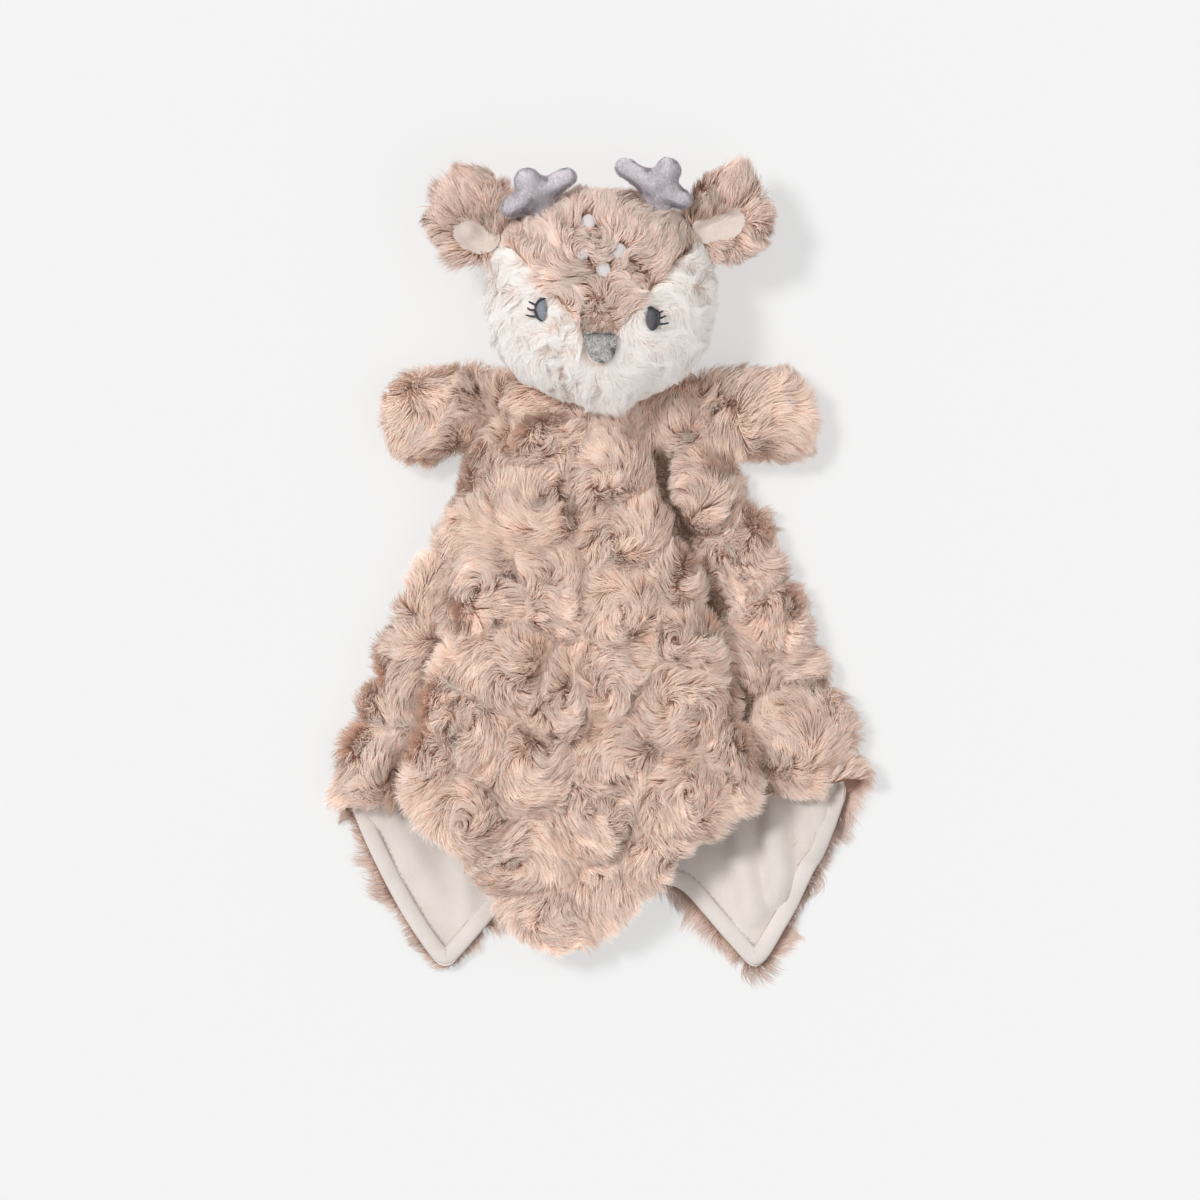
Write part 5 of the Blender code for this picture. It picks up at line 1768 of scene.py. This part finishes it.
class Face:
    """Nose, eyes, lashes and forehead spots."""

    EYES = {Side.LEFT: (-0.02640, 0.11210), Side.RIGHT: (0.02300, 0.10790)}
    SPOTS = ((-0.0053, 0.1514), (0.0085, 0.1382), (0.0014, 0.1297), (-0.0080, 0.1376), (0.0133, 0.1514))
    LASHES = {
        Side.LEFT: (
            ((-0.0288, 0.1142), (-0.0306, 0.1148), (-0.0320, 0.1158)),
            ((-0.0290, 0.1118), (-0.0318, 0.1116), (-0.0326, 0.1131)),
            ((-0.0284, 0.1089), (-0.0308, 0.1090), (-0.0334, 0.1098)),
        ),
        Side.RIGHT: (
            ((0.0252, 0.1098), (0.0264, 0.1106), (0.0280, 0.1116)),
            ((0.0255, 0.1080), (0.0274, 0.1084), (0.0292, 0.1094)),
            ((0.0250, 0.1056), (0.0280, 0.1055), (0.0305, 0.1062)),
        ),
    }
    EDGES = {
        Side.LEFT: (
            ((-0.0244, 0.1169), (-0.0280, 0.1174), (-0.0293, 0.1128)),
            ((-0.0293, 0.1126), (-0.0291, 0.1080), (-0.0258, 0.1069)),
        ),
        Side.RIGHT: (
            ((0.0211, 0.1122), (0.0222, 0.1141), (0.0238, 0.1122)),
            ((0.0236, 0.1122), (0.0272, 0.1116), (0.0261, 0.1070)),
            ((0.0261, 0.1072), (0.0256, 0.1042), (0.0232, 0.1028)),
        ),
    }
    NOSE = (
        (-0.0076, 0.0044),
        (0.0000, 0.0044),
        (0.0067, 0.0039),
        (0.0066, -0.0010),
        (0.0058, -0.0048),
        (0.0038, -0.0073),
        (0.0006, -0.0079),
        (-0.0028, -0.0070),
        (-0.0048, -0.0040),
        (-0.0064, 0.0006),
    )

    EYE_HALF = (0.0030, 0.0053)
    SPOT_RADIUS = 0.0034
    PAD_DEPTH = -0.0014
    EDGE_RADIUS = 0.00048
    LASH_RADIUS = 0.00046

    def __init__(self, form: HeadForm) -> None:
        """Take the head's form.

        Args:
            form: The form that the face is sewn on.
        """
        self.form = form

    def clear(self, places: Array, margin: float) -> Array:
        """Which places lie outside the embroidery and the nose.

        Args:
            places: Roots on the head's cloth.
            margin: Distance kept round each.

        Returns:
            True where the pile grows.
        """
        free = np.ones(len(places), bool)
        half_x, half_y = (half + margin for half in self.EYE_HALF)
        for x, y in self.EYES.values():
            free &= ((places[:, 0] - x) / half_x) ** 2 + ((places[:, 1] - y) / half_y) ** 2 > 1.0
        for x, y in self.SPOTS[:3]:
            free &= np.hypot(places[:, 0] - x, places[:, 1] - y) > self.SPOT_RADIUS * 0.8 + margin
        outline = np.array(self.NOSE) + np.array([0.0, self.form.nose_y])
        low, high = outline.min(0), outline.max(0)
        down = (places[:, 1] - low[1]) / (high[1] - low[1])
        half = np.interp(down, (0.0, 0.12, 0.5, 0.9, 1.0), (0.0022, 0.0044, 0.0060, 0.0070, 0.0072)) + margin
        return free & ~((down > 0.0) & (down < 1.0) & (np.abs(places[:, 0] + 0.0004) < half))

    def covered(self, places: Array) -> Array:
        """Which strand points would hide the embroidery or the nose."""
        return ~self.clear(places, -0.0003)

    def trimmed(self, places: Array, _: Array) -> Array:
        """Shorter pile close to the eyes and beside the tuft under the chin."""
        low = soft_step(0.0900, 0.0760, places[:, 1])
        chin = low * soft_step(0.006, 0.014, np.abs(places[:, 0] - 0.003))
        tuft = low * bell(places[:, 0] - 0.002, 0.0065)
        share = 1.0 - 0.50 * chin + 0.50 * tuft
        for side, (x, y) in self.EYES.items():
            apart = np.hypot(places[:, 0] - x - side.value * 0.0015, places[:, 1] - y)
            share *= rising(0.45, 0.0035, 0.0105, apart)
        return share

    def build(self) -> None:
        """Build and dress the whole face."""
        self._nose()
        for side, (x, y) in self.EYES.items():
            label = side.label
            eye = self._stitched(f"{label}_eye_stitches", (x, y), self.EYE_HALF, 15, 0.0022, -side.value)
            # The left eye's lighter satin is a painted highlight.
            dress(eye, Cloths.EYE_SATIN_PAINTED_HIGHLIGHT if side is Side.LEFT else Cloths.DARK_SATIN)
            settle([eye], "head", [f"{label}_eye"])
            for number, points in enumerate(self.EDGES[side], 1):
                edge = self._lash(f"{label}_eye_edge_{number}", points, self.EDGE_RADIUS)
                settle([dress(edge, Cloths.LASH_THREAD)], "head")
            for number, points in enumerate(self.LASHES[side], 1):
                lash = self._lash(f"{label}_lash_thread_{number}", points, self.LASH_RADIUS)
                settle([dress(lash, Cloths.LASH_THREAD)], "head", [f"{label}_lash_{number}"])
        half = (self.SPOT_RADIUS, self.SPOT_RADIUS)
        for number, place in enumerate(self.SPOTS, 1):
            spot = self._stitched(f"forehead_spot_stitches_{number}", place, half, 14, 0.0012, 0)
            settle([dress(spot, Cloths.SPOT_THREAD)], "head", [f"forehead_spot_{number}"])

    def _stitched(
        self, name: str, place: Sequence[float], half: Sequence[float], threads: int, dome: float, flat_side: int
    ) -> bpy.types.Object:
        """A satin-stitched oval: threads side by side over a small pad.

        Args:
            name: The object's name.
            place: Its plan place.
            half: Half its width and half its height.
            threads: How many threads cover it.
            dome: How far its middle rises.
            flat_side: Which side is drawn in, -1 or 1, or 0 for neither.

        Returns:
            The new object.
        """
        points: list[Array] = []
        faces: list[tuple[int, ...]] = []
        radius = half[1] / threads
        sides, along = 6, 9
        turn = 2 * math.pi * np.arange(sides) / sides
        tube = closed_tube(along, sides)
        for i in range(threads):
            v = (i + 0.5) / threads * 2 - 1
            faces += [tuple(i * along * sides + corner for corner in face) for face in tube]
            for u in np.linspace(-1, 1, along):
                across = u * math.sqrt(1 - v * v) * half[0] * (1.0 - 0.14 * (u * flat_side > 0))
                rise = dome * (1 - 0.75 * u * u) * math.sqrt(1 - v * v * 0.9) - 0.0006
                thin = radius * (1.15 if abs(u) < 0.99 else 0.5)
                plan_y = place[1] + v * half[1] + np.cos(turn) * thin
                ring = self.form.over(np.full(sides, place[0] + across), plan_y, self.PAD_DEPTH)
                ring[:, 2] += rise + np.sin(turn) * thin
                points.append(ring)
        return mesh_object(name, np.concatenate(points), faces)

    def _lash(self, name: str, bend: Sequence[tuple[float, float]], radius: float) -> bpy.types.Object:
        """One stitched line bent over three plan places."""
        p = np.array(bend)
        t = np.linspace(0, 1, 9)[:, None]
        plan = p[0] * (1 - t) ** 2 + 2 * p[1] * t * (1 - t) + p[2] * t * t
        line = self.form.over(plan[:, 0], plan[:, 1], 0.0006)
        along = unit(np.gradient(line, axis=0))
        side = unit(np.cross(along, [0.0, 0.0, 1.0]))
        rise = np.cross(side, along)
        turn = full_turn(8)[:, None]
        thick = radius * np.array([0.7, 1.0, 1.1, 1.1, 1.05, 1.0, 0.95, 0.85, 0.5])
        rows = [line[i] + thick[i] * (np.cos(turn) * side[i] + np.sin(turn) * rise[i]) for i in range(9)]
        return ring_body(name, rows)

    def _nose(self) -> None:
        """The velour nose patch with its cropped pile."""
        corners = np.array(self.NOSE)
        closed = np.concatenate([corners, corners[:1]])
        run = run_along(closed)
        outline = resampled(np.linspace(0, run[-1], 72, endpoint=False), run, closed)
        for _ in range(3):
            outline = (np.roll(outline, 1, 0) + 2 * outline + np.roll(outline, -1, 0)) / 4
        rows = []
        rises = ((0.97, -0.0040), (1.0, -0.0004), (0.99, 0.0004), (0.93, 0.0010), (0.7, 0.0014), (0.35, 0.0016))
        for share, lift in rises:
            place = self.form.over(outline[:, 0] * share, self.form.nose_y + outline[:, 1] * share, 0.0)
            place[:, 2] += lift
            rows.append(place)
        nose = dress(ring_body("nose_patch", rows), Cloths.NOSE_BACKING)
        settle([nose], "head", ["nose"])
        noise = Ripple(61, 0.004, 3)
        pile = Pile(
            length=0.0009, width=0.00026, per_square_metre=3.4e7, lift_deg=60.0, end_deg=30.0, tuft=0.0006, pull=0.3,
            steps=2,
        )
        coat = Coat(pile, Cloths.NOSE, lambda p, _: 0.35 * noise(p) + np.array([0, -1.0, 0]), 61)
        settle(coat.grow("nose_pile", Skin.of(nose), lambda _, n: n[:, 2] > -0.1), "head")


# ---- Ears and antlers ----


def seam_frame(place: Array, out: Array, lift: float) -> Matrix:
    """A frame whose X points out of the head, Y along the seam and Z to the front.

    Args:
        place: Where the seam lies on the head.
        out: The head's normal there.
        lift: How far the frame's origin stands off.

    Returns:
        The frame's matrix.
    """
    along = unit(np.cross([0.0, 0.0, 1.0], out))
    front = np.cross(out, along)
    turned = Matrix((out.tolist(), along.tolist(), front.tolist())).transposed().to_4x4()
    return Matrix.Translation(Vector((place + out * lift).tolist())) @ turned


@dataclass
class OnHead:
    """Something sewn to the head's crown side."""

    side: Side
    head: HeadForm

    def seat(self, across: float, rise: float) -> tuple[Array, Array]:
        """A place on the head and its outward normal.

        Args:
            across: Distance from the middle, towards this side.
            rise: Height above the head's middle.

        Returns:
            The place and the normal.
        """
        half = np.array([self.head.width, self.head.length, self.head.height]) / 2
        along = math.sqrt(1.0 - (across / half[0]) ** 2 - (rise / half[2]) ** 2)
        local = np.array([self.side.value * across, along * half[1], rise])
        return np.array(self.head.centre) + local, unit(local / half**2)


def placed(points: Array, where: Matrix) -> Array:
    """Local points carried to a frame."""
    turn = np.array(where)
    return points @ turn[:3, :3].T + turn[:3, 3]


def flat_in(plan: Array, axes: Array) -> Array:
    """Plan places at the height of a frame's origin, as local points of that frame."""
    return (np.c_[plan, np.full(len(plan), axes[2, 3])] - axes[:3, 3]) @ axes[:3, :3]


@dataclass
class Ear(OnHead):
    """One ear: plush rim and back round a velour dish.

    BACK holds the rings behind the velour, each a share of its width and a depth. FOLDS holds the velour's soft
    folds: their height, then their middle and width along the dish's long way and along its short way.
    """

    BACK = ((0.5, 0.0042), (0.97, 0.0026))
    FOLDS = {
        Side.LEFT: ((0.0034, -0.0040, 0.0046, 0.0002, 0.0050),),
        Side.RIGHT: (
            (0.0024, 0.0010, 0.0080, -0.0024, 0.0030),
            (-0.0018, 0.0010, 0.0045, 0.0008, 0.0013),
            (0.0016, 0.0, math.inf, 0.0040, 0.0024),
        ),
    }
    LOBE, NOTCH = np.array([-0.0590, 0.1370]), np.array([-0.0690, 0.1415])
    angle_deg: float = 34.0
    length: float = 0.0340
    width: float = 0.0350
    seam_width: float = 0.0230
    thickness: float = 0.0080
    seam_thickness: float = 0.0040
    dent: float = 0.0045

    def __post_init__(self) -> None:
        """Set the seam's frame and the dish's place in the picture plane."""
        place, out = self.seat(math.cos(math.radians(self.angle_deg)) * self.head.width / 2, 0.0)
        self.where = seam_frame(place, out, self.length / 2 + SEAM_GAP)
        left = self.side is Side.LEFT
        self.centre = np.array([-0.0558, 0.1467] if left else [0.0534, 0.1509])
        self.half = np.array([0.0092, 0.0072] if left else [0.0108, 0.0068])
        tilt = math.radians(-22 if left else 20)
        self.long = np.array([math.cos(tilt), math.sin(tilt)])
        self.short = np.array([-self.long[1], self.long[0]])

    def build(self) -> None:
        """Build and dress the ear."""
        label = self.side.label
        turn = full_turn(72)
        u, v = np.cos(turn) * self.length / 2, np.sin(turn) * self.width / 2
        near = soft_step(0.35, 0.95, -np.cos(turn))
        u = u + near * (-self.length / 2 - u)
        v = v + near * (np.sign(v) * np.minimum(np.abs(v), self.seam_width / 2) - v)
        u = np.minimum(u, self.length / 2 - 0.003)
        shares = [(share, 1.0) for share in (0.2, 0.35, 0.5, 0.62, 0.74, 0.85, 0.94, 1.0)]
        shares += [(share, -1.0) for share in (0.97, 0.85, 0.6, 0.3)]
        rows = [self._ring(u * share, v * share, face, share) for share, face in shares]
        body = outward(subdivided(ring_body(f"{label}_ear_cloth", [placed(r, self.where) for r in rows])))
        dress(body, Cloths.TAN_BACKING)
        settle([body], f"{label}_ear", [f"{label}_ear_plush"])
        self._dish()
        self._coat(body)

    def _height(self, u: Array, share: float) -> Array:
        """Half the ear's thickness."""
        grown = soft_step(-self.length / 2, 0.0, u)
        half = 0.5 * (self.seam_thickness + (self.thickness - self.seam_thickness) * grown)
        return half * math.sqrt(max(1 - share**4, 0.02))

    def _offsets(self, places: Array) -> Array:
        """Places as offsets from the dish's middle, along its long and its short way."""
        away = places[:, :2] - self.centre
        return np.stack([away @ self.long, away @ self.short], 1)

    def _ring(self, u: Array, v: Array, face: float, share: float) -> Array:
        """One ring of the ear, on its front or its back."""
        height = self._height(u, share) * face
        if face > 0:
            plan = placed(np.stack([u, v, 0 * u], 1), self.where)
            away = np.linalg.norm(self._offsets(plan) / self.half, axis=1)
            height = height - self.dent * (1 - soft_step(0.6, 1.30, away))
        return np.stack([u, v, height], 1)

    def _dish(self) -> None:
        """The inner ear's velour, pushed up in a soft fold."""
        label = self.side.label
        turn = full_turn(72)
        axes = np.array(self.where)
        rows = []
        for share in (1.20, 1.15, 1.08, 1.0, 0.92, 0.84, 0.76, 0.68, 0.6, 0.52, 0.44, 0.36, 0.28, 0.2, 0.12, 0.05):
            a, b = np.cos(turn) * self.half[0] * share, np.sin(turn) * self.half[1] * share
            plan = self.centre + a[:, None] * self.long + b[:, None] * self.short
            local = flat_in(plan, axes)
            level = self._height(local[:, 0], 0.3) - self.dent * 0.9 * (1 - soft_step(0.45, 1.25, share)) + 0.0004
            for rise, a_middle, a_width, b_middle, b_width in self.FOLDS[self.side]:
                level = level + rise * bell(a - a_middle, a_width) * bell(b - b_middle, b_width)
            if self.side is Side.LEFT:
                level = level + 0.0010 * bell(b + 0.0036, 0.0024) * soft_step(-0.002, 0.004, a)
            rows.append(placed(np.c_[local[:, :2], level], self.where))
            if share > 1.19:
                lowered = [np.c_[local[:, :2] * k + local[:, :2].mean(0) * (1 - k), level - d] for k, d in self.BACK]
                rows = [placed(points, self.where) for points in lowered] + rows
        inner = dress(ring_body(f"{label}_ear_velour", rows), Cloths.INNER_EAR)
        settle([inner], f"{label}_ear", [f"{label}_ear_inner"])

    def _coat(self, body: bpy.types.Object) -> None:
        """Grow the ear's pile, outward from its base and round the dish."""
        label, sign = self.side.label, self.side.value
        axes = np.array(self.where)
        base = axes[:3, 3] - axes[:3, 0] * self.length * 0.55
        centre = np.array([*self.centre, axes[2, 3] - 0.004])
        noise = Ripple(71 + sign, 0.020, 3)

        def flow(places: Array, normals: Array) -> Array:
            """Outward from the base, and away from the dish on the front."""
            return 0.9 * unit(places - base) + 0.7 * unit(places - centre) + 0.55 * noise(places)

        def inside(places: Array) -> tuple[Array, Array]:
            """How far out of the dish's middle places lie, and how near its upper edge."""
            away = self._offsets(places) / self.half
            far = np.linalg.norm(away, axis=1)
            return far, soft_step(0.1, 0.8, away[:, 1] / np.maximum(far, 1e-6))

        def keep(places: Array, normals: Array) -> Array:
            """Everywhere but in the dish, and into its upper edge."""
            far, upper = inside(places)
            return (normals @ axes[:3, 2] < 0.15) | (far > 1.04 - 0.34 * upper)

        def covered(places: Array) -> Array:
            """Over the dish's middle, less at its upper edge."""
            far, upper = inside(places)
            return (far < 0.88 - 0.34 * upper) & (places[:, 2] > axes[2, 3])

        def shares(places: Array, _: Array) -> Array:
            """Uneven, longer at the left ear's lower lobe and short in the notch above it."""
            long = bell(np.linalg.norm(places[:, :2] - self.LOBE, axis=1), 0.010)
            short = bell(np.linalg.norm(places[:, :2] - self.NOTCH, axis=1), 0.0075)
            return (1 + 0.16 * noise(places)[:, 1]) * (1 + 0.60 * long) * (1 - 0.55 * short)

        pile = Pile(
            length=0.0100, width=0.00030, per_square_metre=4.2e6, lift_deg=44.0, tuft=0.0052, pull=0.70, stray_deg=12.0
        )
        coat = Coat(pile, Cloths.EAR, flow, 75 + sign)
        pieces = coat.grow(f"{label}_ear_pile", Skin.of(body), keep, shares, covered)
        settle(pieces, f"{label}_ear")


@dataclass
class Antler(OnHead):
    """One stuffed velour antler of three rounded points.

    PLACES holds the plan place of the fork, then the place and radius of each point and of the stem.
    """

    spread: float = 0.0210
    rise: float = 0.0110
    stem: float = 0.0100
    fork: float = 0.0050
    blend: float = 0.0020
    thickness: float = 0.0112
    shrink: float = 0.989

    PLACES = {
        Side.LEFT: (
            (-0.0281, 0.1647),
            (-0.0335, 0.1730, 0.0054),
            (-0.0148, 0.1732, 0.0036),
            (-0.0402, 0.1589, 0.0041),
            (-0.0240, 0.1540, 0.0060),
        ),
        Side.RIGHT: (
            (0.0260, 0.1684),
            (0.0313, 0.1780, 0.0053),
            (0.0106, 0.1782, 0.0034),
            (0.0366, 0.1631, 0.0040),
            (0.0235, 0.1560, 0.0060),
        ),
    }

    def _outline(self) -> tuple[Array, Array]:
        """The fork's place and the antler's outline about it, in the picture plane."""
        middle, *ends = self.PLACES[self.side]
        fork = np.array(middle)
        turn = full_turn(132)
        ways = np.stack([np.cos(turn), np.sin(turn)], 1)
        radii = np.linspace(0.030, 0.002, 280)
        places = fork + ways[:, None] * radii[None, :, None]
        total = 0.0
        for x, y, radius in ends:
            line = np.array([x, y]) - fork
            t = ((places - fork) @ line / (line @ line)).clip(0, 1)
            gap = np.linalg.norm(places - fork - t[..., None] * line, axis=-1) - (self.fork + (radius - self.fork) * t)
            total = total + np.exp(-gap / self.blend)
        inside = total > 1.0
        reach = radii[inside.argmax(1)]
        return fork, ways * reach[:, None]

    def build(self) -> None:
        """Build and dress the antler."""
        label, sign = self.side.label, self.side.value
        place, out = self.seat(self.spread, self.rise)
        where = seam_frame(place, out, self.stem + SEAM_GAP)
        axes = np.array(where)
        fork, outline = self._outline()
        rows = []
        shares = (0.1, 0.25, 0.4, 0.54, 0.66, 0.77, 0.86, 0.93, 0.98, 1.0)
        for face in (1.0, -1.0):
            for share in shares if face > 0 else tuple(reversed(shares[:-1])):
                local = flat_in((fork + outline * share) * self.shrink, axes)
                local[:, 2] = face * self._height(local[:, 0], outline * share, outline, share)
                rows.append(placed(local, where))
        body = dress(ring_body(f"{label}_antler_cloth", rows), Cloths.ANTLER_BACKING)
        nodes = [f"{label}_antler_{part}" for part in ("front", "back", "stuffing")]
        settle([body], f"{label}_antler", nodes)
        noise = Ripple(81 + sign, 0.010, 3)
        pile = Pile(
            length=0.0017, width=0.00018, per_square_metre=1.5e7, lift_deg=34.0, end_deg=10.0, tuft=0.0012, pull=0.3,
            steps=2,
        )
        coat = Coat(pile, Cloths.ANTLER, lambda p, _: axes[:3, 0][None] * 0.9 + 0.28 * noise(p), 85 + sign)
        settle(coat.grow(f"{label}_antler_pile", Skin.of(body)), f"{label}_antler")

    def _height(self, u: Array, plan: Array, outline: Array, share: float) -> Array:
        """Half the thickness at places on a ring, by how far they lie inside the outline."""
        if share == 1.0:
            return np.zeros(len(plan))
        inside = nearest(np.c_[plan, np.zeros(len(plan))], np.c_[outline, np.zeros(len(outline))])[1]
        full = self.thickness / 2
        swell = np.sqrt(np.clip(1 - (1 - np.minimum(inside / full, 1.0)) ** 2, 0.0, 1.0))
        return full * swell * rising(0.55, -self.stem, 0.0, u)


# ---- Light, floor and camera ----


@dataclass
class Studio:
    """A pale floor under soft light, seen from straight above."""

    view_width: float = 0.540
    centre: tuple[float, float] = (-0.0002, -0.0173)
    focus_z: float = 0.02
    lens: float = 300.0
    sensor: float = 36.0
    floor_colour: float = 0.905
    world: float = 0.46
    key: float = 1.76
    fill: float = 0.32
    shadow_share: float = 0.42

    def build(self) -> None:
        """Build the floor, the lamps, the world and the camera."""
        self._floor()
        self._lamps()
        self._camera()
        bpy.context.scene.view_settings.view_transform = "Standard"

    def _floor(self) -> None:
        """The surface that the toy lies on and the wall behind it, pale to the camera so that shadows stay light."""
        pale = (self.floor_colour,) * 3
        floor = mesh_object("floor", np.array([[-4, -4, 0], [4, -4, 0], [4, 4, 0], [-4, 4, 0]]), [(0, 1, 2, 3)])
        writer, shader, made = shader_of("pale_floor")
        set_inputs(shader, {"Base Color": pale, "Roughness": 0.9, "Specular IOR Level": 0.0})
        paper = writer.add("ShaderNodeEmission")
        set_inputs(paper, {"Color": pale})
        end = made.node_tree.nodes["Material Output"].inputs["Surface"]
        writer.to_camera(shader.outputs[0], paper.outputs[0], 1 - self.shadow_share, end)
        floor.data.materials.append(made)
        world = bpy.data.worlds.new("studio")
        world.use_nodes = True
        back = world.node_tree.nodes["Background"]
        set_inputs(back, {"Color": (1.0, 1.0, 1.0), "Strength": self.world})
        writer = Nodes(world.node_tree)
        wall = writer.add("ShaderNodeBackground")
        set_inputs(wall, {"Color": pale})
        end = world.node_tree.nodes["World Output"].inputs["Surface"]
        writer.to_camera(back.outputs[0], wall.outputs[0], 1.0, end)
        bpy.context.scene.world = world

    def _lamps(self) -> None:
        """A soft key from the upper left and a weak fill, even over the whole floor."""
        for name, place, spread_deg, power in (
            ("key", (-2.1, 1.25, 3.9), 13.0, self.key),
            ("fill", (2.5, -1.6, 3.6), 50.0, self.fill),
        ):
            data = bpy.data.lights.new(name, "SUN")
            data.angle = math.radians(spread_deg)
            data.energy = power
            lamp = linked(name, data)
            lamp.location = place
            lamp.rotation_euler = (-Vector(place)).to_track_quat("-Z", "Y").to_euler()

    def _camera(self) -> None:
        """The camera, straight above."""
        data = bpy.data.cameras.new("camera")
        data.lens = self.lens
        data.sensor_width = self.sensor
        camera = linked("camera", data)
        camera.location = (*self.centre, self.focus_z + self.view_width * self.lens / self.sensor)
        bpy.context.scene.camera = camera


def main() -> None:
    """Build the toy piece by piece, then the studio."""
    logging.basicConfig(level=logging.INFO, format="%(message)s")
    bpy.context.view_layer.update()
    Blanket(BlanketForm()).build()
    LOG.info("blanket built")
    Gather().build()
    for side in Side:
        Arm(side).build()
        LOG.info("%s arm built", side.label)
    head = HeadForm()
    Head(head).build()
    LOG.info("head built")
    for side in Side:
        Ear(side, head).build()
        Antler(side, head).build()
        LOG.info("%s ear and antler built", side.label)
    Studio().build()


if __name__ == "__main__":
    main()
